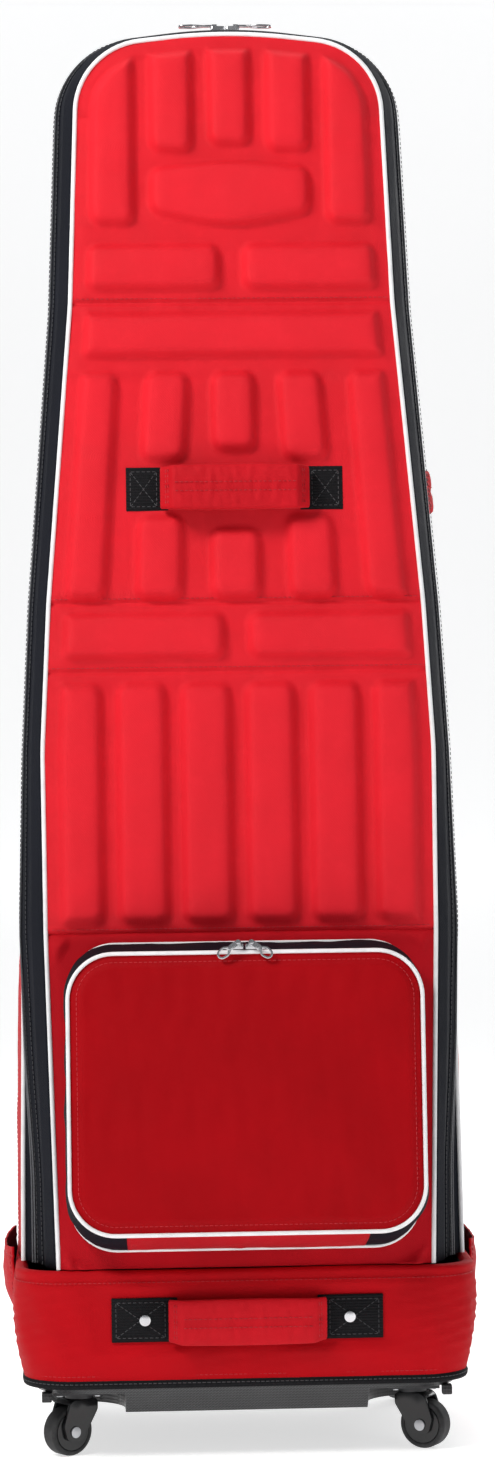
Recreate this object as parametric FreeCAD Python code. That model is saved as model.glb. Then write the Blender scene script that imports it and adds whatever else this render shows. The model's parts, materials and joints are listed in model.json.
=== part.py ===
import FreeCAD, Part
import math
import os

# Golf travel case: a tall padded case that stands on a hard base with four swivel casters.
# The zipped front is a lid that folds forward about the top edge of the boot.
# Millimetres, +Z up, the front faces -Y, and the origin is the centre of the footprint on the floor.

Vector = FreeCAD.Vector

# ---- overall sizes ----
case_height = 1314.0
foot_half_width = 171.0
foot_flare = 29.0
boot_half_depth_top = 170.0
top_depth = 247.0
boot_top = 173.0
tray_bottom = 39.0

# ---- boot: the padded band round the foot of the case ----
boot_margin = 9.0
boot_side_taper = 9.0
boot_front_taper = 6.0
boot_corner = 45.0
boot_wall = 12.0

# ---- outline of the case: (height, half width of the front panel, flare out to the zipper) ----
# The heights of the outline and of the pads are drawn from layout_low to layout_high, and are
# stretched to the real run from the foot of the moulded panel to the crown.
layout_low = 474.0
layout_high = 1314.0
outline_levels = [(474.0, 179.0, 19.0), (640.0, 180.0, 13.0), (774.0, 173.0, 13.0), (1049.0, 150.0, 14.0)]
top_half_width = 141.0
top_flare = 13.0
side_blend = 420.0
top_corner = 62.0
crown_radius = 475.0
crown_rise = 25.0

# ---- walls and edges ----
shell_wall = 5.0
shell_corner = 42.0
panel_inset = 8.0
panel_plate = 5.0
pad_height = 4.0
gusset_wall = 3.0
piping_width = 4.5
piping_proud = 2.0
coil_width = 4.0
coil_proud = 1.2
zip_tape = 8.0
rear_piping_width = 4.0
lid_depth = 50.0
lid_gap = 0.4
foam_thickness = 6.0
foam_clearance = 1.0
binding_height = 7.0
binding_thickness = 2.0
binding_rise = 3.0

# ---- base tray, board and casters ----
tray_side_inset = 5.0
tray_front_inset = 4.0
tray_draft = 28.0
tray_wall = 3.0
tray_corner = 40.0
flange_thickness = 4.0
board_thickness = 4.0
well_margin = 7.0
roof_space = 3.0
bumper_size = 9.0
bumper_height = 8.0
bumper_gap = 1.5
caster_side_inset = 43.0
caster_front_inset = 45.0
plate_size = 46.0
plate_thickness = 4.0
boss_radius = 13.0
boss_height = 5.0
stem_radius = 4.0
running_clearance = 0.05
stem_engagement = 7.5
screw_radius = 1.6
screw_head_radius = 3.2
screw_head_height = 1.4
screw_spacing = 34.0
screw_clearance = 0.1
wheel_radius = 22.0
wheel_width = 17.0
tyre_thickness = 5.0
axle_radius = 3.0
axle_head_radius = 5.0
axle_head_height = 1.2
trail = 13.0
cheek_thickness = 3.2
cheek_clearance = 0.8
fork_crown = 4.0
fork_top_gap = 2.5
swivel_gap = 0.5
caster_headings = {"front_left": 215.0, "front_right": 330.0, "rear_left": 150.0, "rear_right": 35.0}

# ---- carrying handles ----
grip_half_length = 68.0
grip_width = 42.0
grip_thickness = 13.0
finger_gap = 15.0
patch_thickness = 2.0
patch_width = 40.0
patch_overlap = 8.0
front_patch_reach = 99.0
carry_handle_height = 878.0
side_patch_reach = 92.0
side_finger_gap = 7.0
side_grip_thickness = 8.0
side_handle_back = 110.0
boot_handle_rise = 58.0
boot_grip_half_length = 71.0
boot_finger_gap = 8.0
boot_grip_thickness = 8.5
boot_patch_reach = 122.0
rivet_radius = 5.0
rivet_height = 2.0
rivet_reach = 92.0

# ---- front pocket ----
pocket_low = 205.0
pocket_high = 456.0
pocket_half_width = 159.0
pocket_corner = 42.0
pocket_flare = 6.0
pocket_foot_flare = 15.0
pocket_depth = 50.0
pocket_wall = 3.0
pocket_piping_width = 4.0
pocket_piping_depth = 3.0
pocket_coil = 3.0
flap_gap = 0.4
flap_thickness = 5.0

# ---- zipper sliders and pulls ----
slider_length = 13.0
slider_width = 11.0
slider_height = 4.5
slider_lift = 0.4
slider_gap = 1.0
bridge_height = 2.5
bridge_width = 2.4
pivot_inset = 3.0
pivot_height = 0.95
eye_clearance = 0.3
fork_slack = 0.4
link_width = 5.2
nose_reach = 10.0
pin_radius = 0.9
pin_slack = 0.4
pin_head_radius = 1.7
pocket_pull_droop = 35.0
pull_thickness = 1.6
pull_length = 33.0
pull_width = 11.0
pull_rim = 1.8
pull_link = 9.0
pocket_slider_length = 11.0
pocket_pull_length = 22.0
pocket_pull_width = 10.0

# ---- side slip pockets, straps and buckle ----
slip_depth = 58.0
slip_lip = 10.0
slip_belly_drop = 31.0
slip_reach = 14.0
slip_wall = 2.0
slip_half_length = 75.0
strap_width = 25.0
strap_thickness = 1.6
strap_y = 30.0
strap_rise = 67.0
buckle_rise = 15.0
buckle_socket_height = 20.0
buckle_plug_height = 16.0
buckle_thickness = 8.0
buckle_width = 32.0
buckle_stand_off = 2.4
buckle_wall = 1.6
tongue_length = 13.0
tongue_clearance = 0.3
tail_length = 15.0
tie_heights = [420.0, 900.0]
panel_margin = 18.0
tie_half_length = 110.0
tie_width = 38.0
tie_thickness = 2.0
tie_buckle_length = 60.0
tie_buckle_width = 46.0
tie_buckle_thickness = 7.0

# ---- pads moulded into the front panel: (x at the foot, x at the head, foot height, head height) ----
side_pads = [
    ((86.0, 131.0), (86.0, 129.0), 1121.0, 1288.0),
    ((32.0, 75.0), (32.0, 75.0), 1188.0, 1291.0),
    ((8.5, 136.0), (8.5, 134.0), 1060.0, 1105.0),
    ((117.0, 160.0), (103.0, 145.0), 776.0, 987.0),
    ((9.0, 164.0), (8.5, 163.0), 721.0, 766.0),
]
centre_pads = [(21.0, 1194.0, 1294.0), (143.0, 998.0, 1042.0)]
handle_column_above = ((43.0, 88.0), (38.0, 82.0))
handle_column_below = ((46.5, 94.0), (45.0, 91.0))
handle_centre_half = 23.5
handle_row_low = 776.0
handle_row_high = 987.0
patch_room = 23.5
grip_room = 34.0
pad_edge_room = 12.0
channel_pitch = 58.5
channel_width = 49.0
channel_low = 481.0
channel_high = 702.0
shield_half_width = 75.5
shield_tip = 1116.0
shield_low = 1131.0
shield_shoulder = 1176.0
shield_peak = 1183.0

# ---- derived places ----
panel_low = pocket_high + panel_margin
zip_half_foot = foot_half_width + foot_flare
boot_half_width_top = zip_half_foot + boot_margin
boot_half_width_low = boot_half_width_top - boot_side_taper
boot_half_depth_low = boot_half_depth_top - boot_front_taper
well_roof = 2 * wheel_radius + fork_top_gap + fork_crown + swivel_gap + boss_height + plate_thickness
well_radius = trail + wheel_radius + well_margin
boot_bottom = well_roof + tray_wall + roof_space + flange_thickness
tray_half_width = boot_half_width_low - tray_side_inset
tray_half_depth = boot_half_depth_low - tray_front_inset
caster_x = tray_half_width - caster_side_inset
caster_y = tray_half_depth - caster_front_inset
boot_handle_height = boot_bottom + boot_handle_rise
slip_low = boot_top - slip_depth
slip_high = boot_top + slip_lip
slip_belly = boot_top - slip_belly_drop
strap_high = boot_top + strap_rise
buckle_low = boot_top + buckle_rise
side_handle_y = boot_half_depth_top - side_handle_back
panel_front = panel_inset - boot_half_depth_top
shell_back = boot_half_depth_top
lean_angle = math.degrees(math.atan2((shell_back - panel_front) - top_depth, case_height - boot_top))
zip_plane = panel_front + lid_depth
rear_coil_start = zip_plane + lid_gap
rear_tape_start = rear_coil_start + coil_width
rear_piping_start = rear_tape_start + zip_tape
shell_start = rear_piping_start + rear_piping_width
boot_slope = math.degrees(math.atan2(boot_half_depth_top - boot_half_depth_low, boot_top - boot_bottom))
flange_bottom = boot_bottom - flange_thickness
foot_drop = 40.0
far = 3000.0

nodes = {}


def add(name, *solids):
    nodes[name] = list(solids)


def at(height):
    """The real height of a height in the drawn layout of the outline and the pads."""
    return panel_low + (height - layout_low) * (case_height - panel_low) / (layout_high - layout_low)


def rounded_wire(corners, place):
    """Closed wire through corners (u, v, radius), with tangent arcs at the corners."""
    count = len(corners)
    ends = []
    for index in range(count):
        before = Vector(*corners[index - 1][:2], 0)
        here = Vector(*corners[index][:2], 0)
        after = Vector(*corners[(index + 1) % count][:2], 0)
        radius = corners[index][2]
        back = before - here
        ahead = after - here
        half_turn = (math.pi - back.getAngle(ahead)) / 2
        if radius <= 0 or half_turn < 1e-4:
            ends.append((here, here, here))
            continue
        reach = min(radius * math.tan(half_turn), 0.49 * back.Length, 0.49 * ahead.Length)
        arc_radius = reach / math.tan(half_turn)
        start = here + back.normalize() * reach
        end = here + ahead.normalize() * reach
        middle_way = (start + end) * 0.5 - here
        centre_reach = arc_radius / math.cos(half_turn)
        middle = here + middle_way.normalize() * (centre_reach - arc_radius)
        ends.append((start, middle, end))
    edges = []
    for index in range(count):
        start, middle, end = ends[index]
        if (end - start).Length > 1e-6:
            arc = Part.Arc(place(start.x, start.y), place(middle.x, middle.y), place(end.x, end.y))
            edges.append(arc.toShape())
        following = ends[(index + 1) % count][0]
        edges.append(Part.makeLine(place(end.x, end.y), place(following.x, following.y)))
    return Part.Wire(edges)


def upright(y):
    return lambda u, v: Vector(u, y, v)


def level(z):
    return lambda u, v: Vector(u, v, z)


def case_wire(y, flared, inset=0.0, foot=foot_drop):
    """The outline of the case in an upright plane, as the panel's edge or as the zipper line."""
    share = 1.0 if flared else 0.0
    foot_half = foot_half_width + foot_flare * share
    first_height, first_half, first_flare = outline_levels[0]
    run_out = (foot_half - first_half - first_flare * share) / (at(first_height) - boot_top)
    right = [(foot_half + run_out * foot - inset, boot_top - foot, 0.0)]
    for height, half, flare in outline_levels:
        right.append((half + flare * share - inset, at(height), side_blend))
    step = 0.0 if flared else top_flare - piping_proud
    apex_sink = crown_radius * (1 / math.cos(crown_angle()) - 1)
    apex = case_height + apex_sink - step - inset
    right.append((top_half_width + top_flare * share - inset, apex - crown_rise, top_corner))
    left = [(-u, v, r) for u, v, r in reversed(right)]
    return rounded_wire(right + [(0.0, apex, crown_radius)] + left, upright(y))


def crown_angle():
    return math.atan2(crown_rise, top_half_width + top_flare)


def level_wire(z, half_x, half_y, corner):
    points = [(half_x, -half_y, corner), (half_x, half_y, corner)]
    points += [(-half_x, half_y, corner), (-half_x, -half_y, corner)]
    return rounded_wire(points, level(z))


def loft(first, second):
    return Part.makeLoft([first, second], True, True)


def prism(wire, direction):
    return Part.Face(wire).extrude(direction)


def box(low, high):
    size = [b - a for a, b in zip(low, high)]
    return Part.makeBox(size[0], size[1], size[2], Vector(*low))


def polygon_prism(points, place, direction):
    corners = [place(u, v) for u, v in points]
    return prism(Part.makePolygon(corners + corners[:1]), direction)


def above(shape, height):
    return shape.common(box((-far, -far, height), (far, far, far)))


def in_front(shape, y):
    return shape.common(box((-far, -far, -far), (far, y, far)))


def lean(shape):
    """Turn a piece built upright on the front plane to the slope of the case's front."""
    turned = shape.copy()
    turned.rotate(Vector(0, panel_front, boot_top), Vector(1, 0, 0), -lean_angle)
    return turned


def lean_boot(shape):
    turned = shape.copy()
    turned.rotate(Vector(0, -boot_half_depth_top, boot_top), Vector(1, 0, 0), boot_slope)
    return turned


def case_ring(start, end, flared, outer_inset, inner_inset):
    """A band that follows the case's outline, open at its foot."""
    along = Vector(0, end - start, 0)
    outer = prism(case_wire(start, flared, outer_inset), along)
    inner = prism(case_wire(start, flared, inner_inset, foot_drop + 10), along)
    return outer.cut(inner)


def boot_face_x(z):
    share = (z - boot_bottom) / (boot_top - boot_bottom)
    return boot_half_width_low + (boot_half_width_top - boot_half_width_low) * share


def boot_face_y(z):
    share = (z - boot_bottom) / (boot_top - boot_bottom)
    return boot_half_depth_low + (boot_half_depth_top - boot_half_depth_low) * share


def wall_half_width(z):
    """Half width of the rear shell at a height, on the straight runs of the outline."""
    slope = math.radians(lean_angle)
    drop = (shell_start - panel_front) * math.sin(slope)
    drawn = boot_top + (z - boot_top + drop) / math.cos(slope)
    levels = [(boot_top, zip_half_foot)]
    levels += [(at(height), half + flare) for height, half, flare in outline_levels]
    for (low, low_half), (high, high_half) in zip(levels, levels[1:]):
        if drawn <= high:
            return low_half + (high_half - low_half) * (drawn - low) / (high - low)
    return levels[-1][1]


# ---------------------------------------------------------------- base
def make_base_tray():
    rim = level_wire(flange_bottom, tray_half_width, tray_half_depth, tray_corner)
    keel = level_wire(tray_bottom, tray_half_width - tray_draft, tray_half_depth - tray_draft, tray_corner)
    tub = loft(keel, rim)
    wells = []
    pillars = []
    for x, y in caster_places().values():
        wells.append(well(x, y, well_radius, well_roof))
        pillars.append(well(x, y, well_radius + tray_wall, well_roof + tray_wall))
    inner_rim = level_wire(
        flange_bottom + 1, tray_half_width - tray_wall, tray_half_depth - tray_wall, tray_corner - tray_wall
    )
    inner_keel = level_wire(
        tray_bottom + tray_wall,
        tray_half_width - tray_draft - tray_wall,
        tray_half_depth - tray_draft - tray_wall,
        tray_corner - tray_wall,
    )
    hollow = loft(inner_keel, inner_rim)
    for pillar in pillars:
        hollow = hollow.cut(pillar)
    for cut in wells:
        tub = tub.cut(cut)
    flange = prism(
        level_wire(flange_bottom, boot_half_width_low, boot_half_depth_low, boot_corner),
        Vector(0, 0, flange_thickness),
    )
    flange_hole = prism(
        level_wire(
            flange_bottom - 1, tray_half_width - tray_wall, tray_half_depth - tray_wall, tray_corner - tray_wall
        ),
        Vector(0, 0, flange_thickness + 2),
    )
    tray = tub.cut(hollow).fuse(flange.cut(flange_hole))
    reach = (plate_size + bumper_size) / 2 + bumper_gap
    for x, y in caster_places().values():
        middle_x = x + math.copysign(reach, x)
        middle_y = y + math.copysign(reach, y)
        bumper = Part.makeBox(bumper_size, bumper_size, bumper_height + 1)
        corner = Vector(middle_x - bumper_size / 2, middle_y - bumper_size / 2, well_roof - bumper_height)
        bumper.translate(corner)
        tray = tray.fuse(bumper)
        for hole in screw_bars(x, y, screw_radius + screw_clearance, well_roof - 1, well_roof + tray_wall + 1):
            tray = tray.cut(hole)
    add("base_tray", tray.removeSplitter())


def caster_places():
    return {
        "front_left": (-caster_x, -caster_y),
        "front_right": (caster_x, -caster_y),
        "rear_left": (-caster_x, caster_y),
        "rear_right": (caster_x, caster_y),
    }


def well(x, y, radius, roof):
    """The room for one caster: a round well that is open towards the corner of the tray."""
    round_part = Part.makeCylinder(radius, roof, Vector(x, y, 0))
    reach = 200.0
    out_x = math.copysign(reach, x)
    out_y = math.copysign(reach, y)
    corner_a = (min(x, x + out_x), min(y, y + out_y), 0)
    corner_b = (max(x, x + out_x), max(y, y + out_y), roof)
    side_a = box((min(x, x + out_x), y - radius, 0), (max(x, x + out_x), y + radius, roof))
    side_b = box((x - radius, min(y, y + out_y), 0), (x + radius, max(y, y + out_y), roof))
    return round_part.fuse([box(corner_a, corner_b), side_a, side_b]).removeSplitter()


def screw_bars(x, y, radius, low, high):
    half = screw_spacing / 2
    bars = []
    for dx in (-half, half):
        for dy in (-half, half):
            bars.append(Part.makeCylinder(radius, high - low, Vector(x + dx, y + dy, low)))
    return bars


def make_boot():
    outer = loft(
        level_wire(boot_bottom, boot_half_width_low, boot_half_depth_low, boot_corner),
        level_wire(boot_top, boot_half_width_top, boot_half_depth_top, boot_corner),
    )
    inner_corner = boot_corner - boot_wall
    inner = loft(
        level_wire(boot_bottom, boot_half_width_low - boot_wall, boot_half_depth_low - boot_wall, inner_corner),
        level_wire(boot_top, boot_half_width_top - boot_wall, boot_half_depth_top - boot_wall, inner_corner),
    )
    add("boot", outer.cut(inner))
    board = prism(
        level_wire(boot_bottom, boot_half_width_low - boot_wall, boot_half_depth_low - boot_wall, inner_corner),
        Vector(0, 0, board_thickness),
    )
    add("floor_board", board)
    band_low = flange_bottom - (binding_height - flange_thickness - binding_rise)
    band_high = boot_bottom + binding_rise
    grow = binding_thickness
    half_x_low = boot_half_width_low
    half_y_low = boot_half_depth_low
    outside = prism(
        level_wire(band_low, boot_face_x(band_high) + grow, boot_face_y(band_high) + grow, boot_corner + grow),
        Vector(0, 0, band_high - band_low),
    )
    flange_room = prism(
        level_wire(band_low - 1, half_x_low, half_y_low, boot_corner), Vector(0, 0, boot_bottom - band_low + 1)
    )
    add("base_binding", outside.cut(flange_room).cut(outer))


# ---------------------------------------------------------------- rear half of the case
def swept_back(inset, start):
    """The case's outline carried straight back from the sloping plane, above the boot."""
    face = lean(Part.Face(case_wire(start, True, inset)))
    return above(face.extrude(Vector(0, far, 0)), boot_top)


def round_back(shape, back, radius):
    """Round the long edges where the back meets the sides and the crown."""
    edges = []
    for edge in shape.Edges:
        box_of_edge = edge.BoundBox
        on_back = abs(box_of_edge.YMin - back) < 0.01 and abs(box_of_edge.YMax - back) < 0.01
        if on_back and box_of_edge.ZMax > boot_top + 1:
            edges.append(edge)
    return shape.makeFillet(radius, edges)


def make_rear_shell():
    outer = round_back(in_front(swept_back(0.0, shell_start), shell_back), shell_back, shell_corner)
    inner_back = shell_back - shell_wall
    inner = in_front(swept_back(shell_wall, shell_start - 5), inner_back)
    inner = round_back(inner, inner_back, shell_corner - shell_wall)
    shell = outer.cut(inner)
    add("rear_shell", shell.cut(box((-far, -far, boot_top - 50), (far, shell_back - shell_wall, boot_top))))
    foam = in_front(swept_back(shell_wall + foam_clearance, shell_start), inner_back)
    foam = round_back(foam, inner_back, shell_corner)
    foam_front = inner_back - foam_thickness
    foam = foam.common(box((-far, foam_front, boot_top), (far, inner_back, far)))
    add("back_foam", foam)
    straps = []
    for height in [at(drawn) for drawn in tie_heights]:
        half = tie_half_length
        low = height - tie_width / 2
        web_y = foam_front - tie_thickness
        straps.append(box((-half, web_y, low), (half, foam_front, low + tie_width)))
        buckle_y = web_y - tie_buckle_thickness
        half_buckle = tie_buckle_length / 2
        low = height - tie_buckle_width / 2
        straps.append(box((-half_buckle, buckle_y, low), (half_buckle, web_y, low + tie_buckle_width)))
    add("tie_straps", *straps)


def make_rear_edge():
    coil = case_ring(rear_coil_start, rear_tape_start, True, -coil_proud, coil_width)
    tape = case_ring(rear_tape_start, rear_piping_start, True, 0.0, gusset_wall)
    piping = case_ring(rear_piping_start, shell_start, True, -piping_proud, gusset_wall)
    add("rear_zip_coil", above(lean(coil), boot_top))
    add("rear_zip_tape", above(lean(tape), boot_top))
    add("rear_piping", above(lean(piping), boot_top))


# ---------------------------------------------------------------- lid
def pad(foot, head, low, high):
    points = [(foot[0], low, 6.0), (foot[1], low, 6.0), (head[1], high, 6.0), (head[0], high, 6.0)]
    return prism(rounded_wire(points, upright(panel_front)), Vector(0, -pad_height, 0))


def panel_pads():
    handle = at(carry_handle_height)
    pairs = [(foot, head, at(low), at(high)) for foot, head, low, high in side_pads]
    pairs.append(handle_column_above + (handle + patch_room, at(handle_row_high)))
    pairs.append(handle_column_below + (at(handle_row_low), handle - patch_room))
    middles = [(half, at(low), at(high)) for half, low, high in centre_pads]
    middles.append((handle_centre_half, handle + grip_room, at(handle_row_high)))
    middles.append((handle_centre_half, at(handle_row_low), handle - grip_room))
    pads = []
    for foot, head, low, high in pairs:
        pads.append(pad(foot, head, low, high))
        pads.append(pad((-foot[1], -foot[0]), (-head[1], -head[0]), low, high))
    for half, low, high in middles:
        pads.append(pad((-half, half), (-half, half), low, high))
    for place in (-2.5, -1.5, -0.5, 0.5, 1.5, 2.5):
        left = place * channel_pitch - channel_width / 2
        span = (left, left + channel_width)
        pads.append(pad(span, span, at(channel_low), at(channel_high)))
    half = shield_half_width
    shield = [(0, at(shield_tip), 6.0), (half, at(shield_low), 8.0), (half, at(shield_shoulder), 8.0)]
    shield += [(0, at(shield_peak), 40.0), (-half, at(shield_shoulder), 8.0), (-half, at(shield_low), 8.0)]
    pads.append(prism(rounded_wire(shield, upright(panel_front)), Vector(0, -pad_height, 0)))
    room = prism(case_wire(panel_front, False, pad_edge_room), Vector(0, -2 * pad_height, 0))
    return [moulded.common(room) for moulded in pads]


def make_lid():
    plate = prism(case_wire(panel_front, False, piping_width), Vector(0, panel_plate, 0))
    upper = plate.common(box((-far, -far, panel_low), (far, far, far)))
    add("front_panel", lean(upper.fuse(panel_pads()).removeSplitter()))
    lower = plate.common(box((-far, -far, boot_top - foot_drop), (far, far, panel_low)))
    add("lower_panel", above(lean(lower), boot_top + lid_gap))
    piping = case_ring(panel_front - piping_proud, panel_front + piping_width - piping_proud, False, 0.0, piping_width)
    add("front_piping", above(lean(piping), boot_top + lid_gap))
    gusset_start = panel_front + piping_width - piping_proud
    gusset_end = zip_plane - coil_width
    outer = loft(case_wire(gusset_start, False), case_wire(gusset_end, True))
    inner = loft(
        case_wire(gusset_start, False, gusset_wall, foot_drop + 10),
        case_wire(gusset_end, True, gusset_wall, foot_drop + 10),
    )
    gusset = outer.cut(inner).cut(plate)
    add("lid_gusset", above(lean(gusset), boot_top + lid_gap))
    coil = case_ring(gusset_end, zip_plane, True, -coil_proud, coil_width)
    add("lid_zip_coil", above(lean(coil), boot_top + lid_gap))


# ---------------------------------------------------------------- handles
def handle(grip_half, patch_reach, gap, thickness):
    """Grip and two stitched patches on the plane y = 0, standing out towards -Y."""
    foot = patch_thickness
    half = grip_width / 2
    outline = [(-grip_half, -foot), (-grip_half + 14, -gap), (grip_half - 14, -gap), (grip_half, -foot)]
    outline += [(grip_half, -foot - thickness * 0.6), (grip_half - 12, -gap - thickness)]
    outline += [(-grip_half + 12, -gap - thickness), (-grip_half, -foot - thickness * 0.6)]
    grip = polygon_prism(outline, level(-half), Vector(0, 0, grip_width))
    patches = []
    for side in (-1, 1):
        ends = sorted([side * (grip_half - patch_overlap), side * patch_reach])
        low = (ends[0], -patch_thickness, -patch_width / 2)
        high = (ends[1], 0, patch_width / 2)
        patches.append(box(low, high))
    heel = grip_half - patch_overlap
    strip = box((-far, -foot, -far), (far, 0, far))
    grip = grip.cut(strip)
    ledge = polygon_prism(
        [(heel, -foot), (grip_half, -foot), (grip_half - 2, -foot - 3), (heel, -foot - 3)],
        level(-half + 1), Vector(0, 0, grip_width - 2),
    )
    ledge_left = ledge.mirror(Vector(0, 0, 0), Vector(1, 0, 0))
    return grip.fuse([ledge, ledge_left]).removeSplitter(), patches


def moved(shape, x, y, z):
    copy = shape.copy()
    copy.translate(Vector(x, y, z))
    return copy


def make_handles():
    grip, patches = handle(grip_half_length, front_patch_reach, finger_gap, grip_thickness)
    add("front_handle_grip", lean(moved(grip, 0, panel_front, at(carry_handle_height))))
    add("front_handle_patches", *[lean(moved(patch, 0, panel_front, at(carry_handle_height))) for patch in patches])

    grip, patches = handle(boot_grip_half_length, boot_patch_reach, boot_finger_gap, boot_grip_thickness)
    front = -boot_half_depth_top
    add("boot_handle_grip", lean_boot(moved(grip, 0, front, boot_handle_height)))
    add("boot_handle_patches", *[lean_boot(moved(patch, 0, front, boot_handle_height)) for patch in patches])
    rivets = []
    for side in (-1, 1):
        start = Vector(side * rivet_reach, front - patch_thickness, boot_handle_height)
        rivets.append(lean_boot(Part.makeCylinder(rivet_radius, rivet_height, start, Vector(0, -1, 0))))
    add("boot_handle_rivets", *rivets)

    grip, patches = handle(grip_half_length, side_patch_reach, side_finger_gap, side_grip_thickness)
    height = at(carry_handle_height)
    low_half = wall_half_width(height - grip_width)
    high_half = wall_half_width(height + grip_width)
    wall_slope = math.degrees(math.atan2(low_half - high_half, 2 * grip_width))
    pieces = []
    for piece in [grip] + patches:
        turned = piece.copy()
        turned.rotate(Vector(0, 0, 0), Vector(0, 0, 1), 90)
        turned.rotate(Vector(0, 0, 0), Vector(0, 1, 0), -wall_slope)
        pieces.append(moved(turned, wall_half_width(height), side_handle_y, height))
    add("side_handle_grip", pieces[0])
    add("side_handle_patches", *pieces[1:])


# ---------------------------------------------------------------- front pocket
def pocket_wire(y, flare, foot_flare, inset=0.0):
    half = pocket_half_width + flare - inset
    low = pocket_low - foot_flare + inset
    high = pocket_high + flare - inset
    corner = pocket_corner - inset
    points = [(half, low, corner), (half, high, corner), (-half, high, corner), (-half, low, corner)]
    return rounded_wire(points, upright(y))


def pocket_ring(start, depth, outer_inset, inner_inset):
    """A band round the pocket's outline, standing forward from the plane at start."""
    along = Vector(0, -depth, 0)
    outer = prism(pocket_wire(start, 0.0, 0.0, outer_inset), along)
    return outer.cut(prism(pocket_wire(start, 0.0, 0.0, inner_inset), along))


def make_pocket():
    base = pocket_wire(panel_front, pocket_flare, pocket_foot_flare, -piping_proud / 2)
    base_hole = pocket_wire(panel_front, pocket_flare, pocket_foot_flare, pocket_piping_width)
    along = Vector(0, -pocket_piping_depth, 0)
    add("pocket_rear_piping", lean(prism(base, along).cut(prism(base_hole, along))))
    gusset_back = panel_front - pocket_piping_depth
    coil_start = gusset_back - pocket_depth
    outer = loft(
        pocket_wire(gusset_back, pocket_flare, pocket_foot_flare), pocket_wire(coil_start, 0.0, 0.0)
    )
    inner = loft(
        pocket_wire(gusset_back, pocket_flare, pocket_foot_flare, pocket_wall),
        pocket_wire(coil_start, 0.0, 0.0, pocket_wall),
    )
    add("pocket_gusset", lean(outer.cut(inner)))
    coil = pocket_ring(coil_start, pocket_coil, 0.0, pocket_piping_width)
    add("pocket_zip_coil", lean(coil))
    flap_start = coil_start - pocket_coil - flap_gap
    flap_coil = pocket_ring(flap_start, pocket_coil, 0.0, pocket_piping_width)
    add("flap_zip_coil", lean(flap_coil))
    face_start = flap_start - pocket_coil
    face = prism(pocket_wire(face_start, 0.0, 0.0, pocket_piping_width), Vector(0, -flap_thickness, 0))
    add("pocket_face", lean(face))
    edge = pocket_ring(face_start, flap_thickness - piping_proud / 2, -piping_proud / 2, pocket_piping_width)
    add("pocket_front_piping", lean(edge))


def flap_start_plane():
    return panel_front - pocket_depth - pocket_piping_depth - pocket_coil - flap_gap


# ---------------------------------------------------------------- zipper sliders
def slider_plate(length):
    """A slider's body centred on the origin, its underside on z = 0, with its run along X."""
    half = length / 2
    wide = slider_width / 2
    outline = [(-half, -wide * 0.7, 2), (half, -wide, 2), (half, wide, 2), (-half, wide * 0.7, 2)]
    return prism(rounded_wire(outline, level(0)), Vector(0, 0, slider_height))


def main_slider_body():
    half = slider_length / 2
    pivot = half - pivot_inset
    top = slider_height + bridge_height
    arch = [(pivot - 3, slider_height), (pivot - 3, top), (pivot + 1.5, top), (pivot + 1.5, slider_height)]
    bridge = polygon_prism(arch, upright(-bridge_width / 2), Vector(0, bridge_width, 0))
    start = Vector(pivot, -bridge_width, slider_height + pivot_height)
    eye = Part.makeCylinder(pull_thickness / 2 + eye_clearance, 2 * bridge_width, start, Vector(0, 1, 0))
    return slider_plate(slider_length).fuse(bridge).cut(eye).removeSplitter()


def pocket_slider_body():
    """A slider with a nose that carries its pull's pin in front of the pocket's face."""
    half = bridge_width
    nose = box((-half, -nose_reach, slider_height), (half, half, slider_height + bridge_height))
    start = Vector(0, -nose_reach, slider_height + bridge_height / 2)
    pin_length = pull_thickness + 2 * pin_slack
    pin = Part.makeCylinder(pin_radius, pin_length, start, Vector(0, -1, 0))
    head_start = start - Vector(0, pin_length, 0)
    head = Part.makeCylinder(pin_head_radius, pin_slack * 2, head_start, Vector(0, -1, 0))
    return slider_plate(pocket_slider_length).fuse([nose, pin, head]).removeSplitter()


def drop_ring(length, width):
    """A flat drop-shaped ring that starts at the end of a pull's link and runs along +X."""
    half = width / 2
    rim = pull_rim
    drop = [(pull_link - 1, -1.6, 0), (length * 0.62, -half, 6), (length, -half * 0.8, 4.5)]
    drop += [(length, half * 0.8, 4.5), (length * 0.62, half, 6), (pull_link - 1, 1.6, 0)]
    hole = [(pull_link + 2.5, -0.4, 0), (length * 0.62, -half + rim, 5), (length - rim, -half * 0.8 + rim, 3)]
    hole += [(length - rim, half * 0.8 - rim, 3), (length * 0.62, half - rim, 5), (pull_link + 2.5, 0.4, 0)]
    ring = prism(rounded_wire(drop, level(-pull_thickness / 2)), Vector(0, 0, pull_thickness))
    return ring.cut(prism(rounded_wire(hole, level(-pull_thickness / 2)), Vector(0, 0, pull_thickness)))


def main_pull():
    """A forked link whose bar turns in the slider's bridge, with its ring."""
    half = link_width / 2
    low = (0, -half, -pull_thickness / 2)
    link = box(low, (pull_link, half, pull_thickness / 2))
    fork_half = bridge_width / 2 + fork_slack
    link = link.cut(box((-1, -fork_half, -2), (2.4, fork_half, 2)))
    bar = Part.makeCylinder(pull_thickness / 2, link_width, Vector(0, -half, 0), Vector(0, 1, 0))
    return link.fuse([drop_ring(pull_length, pull_width), bar]).removeSplitter()


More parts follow.
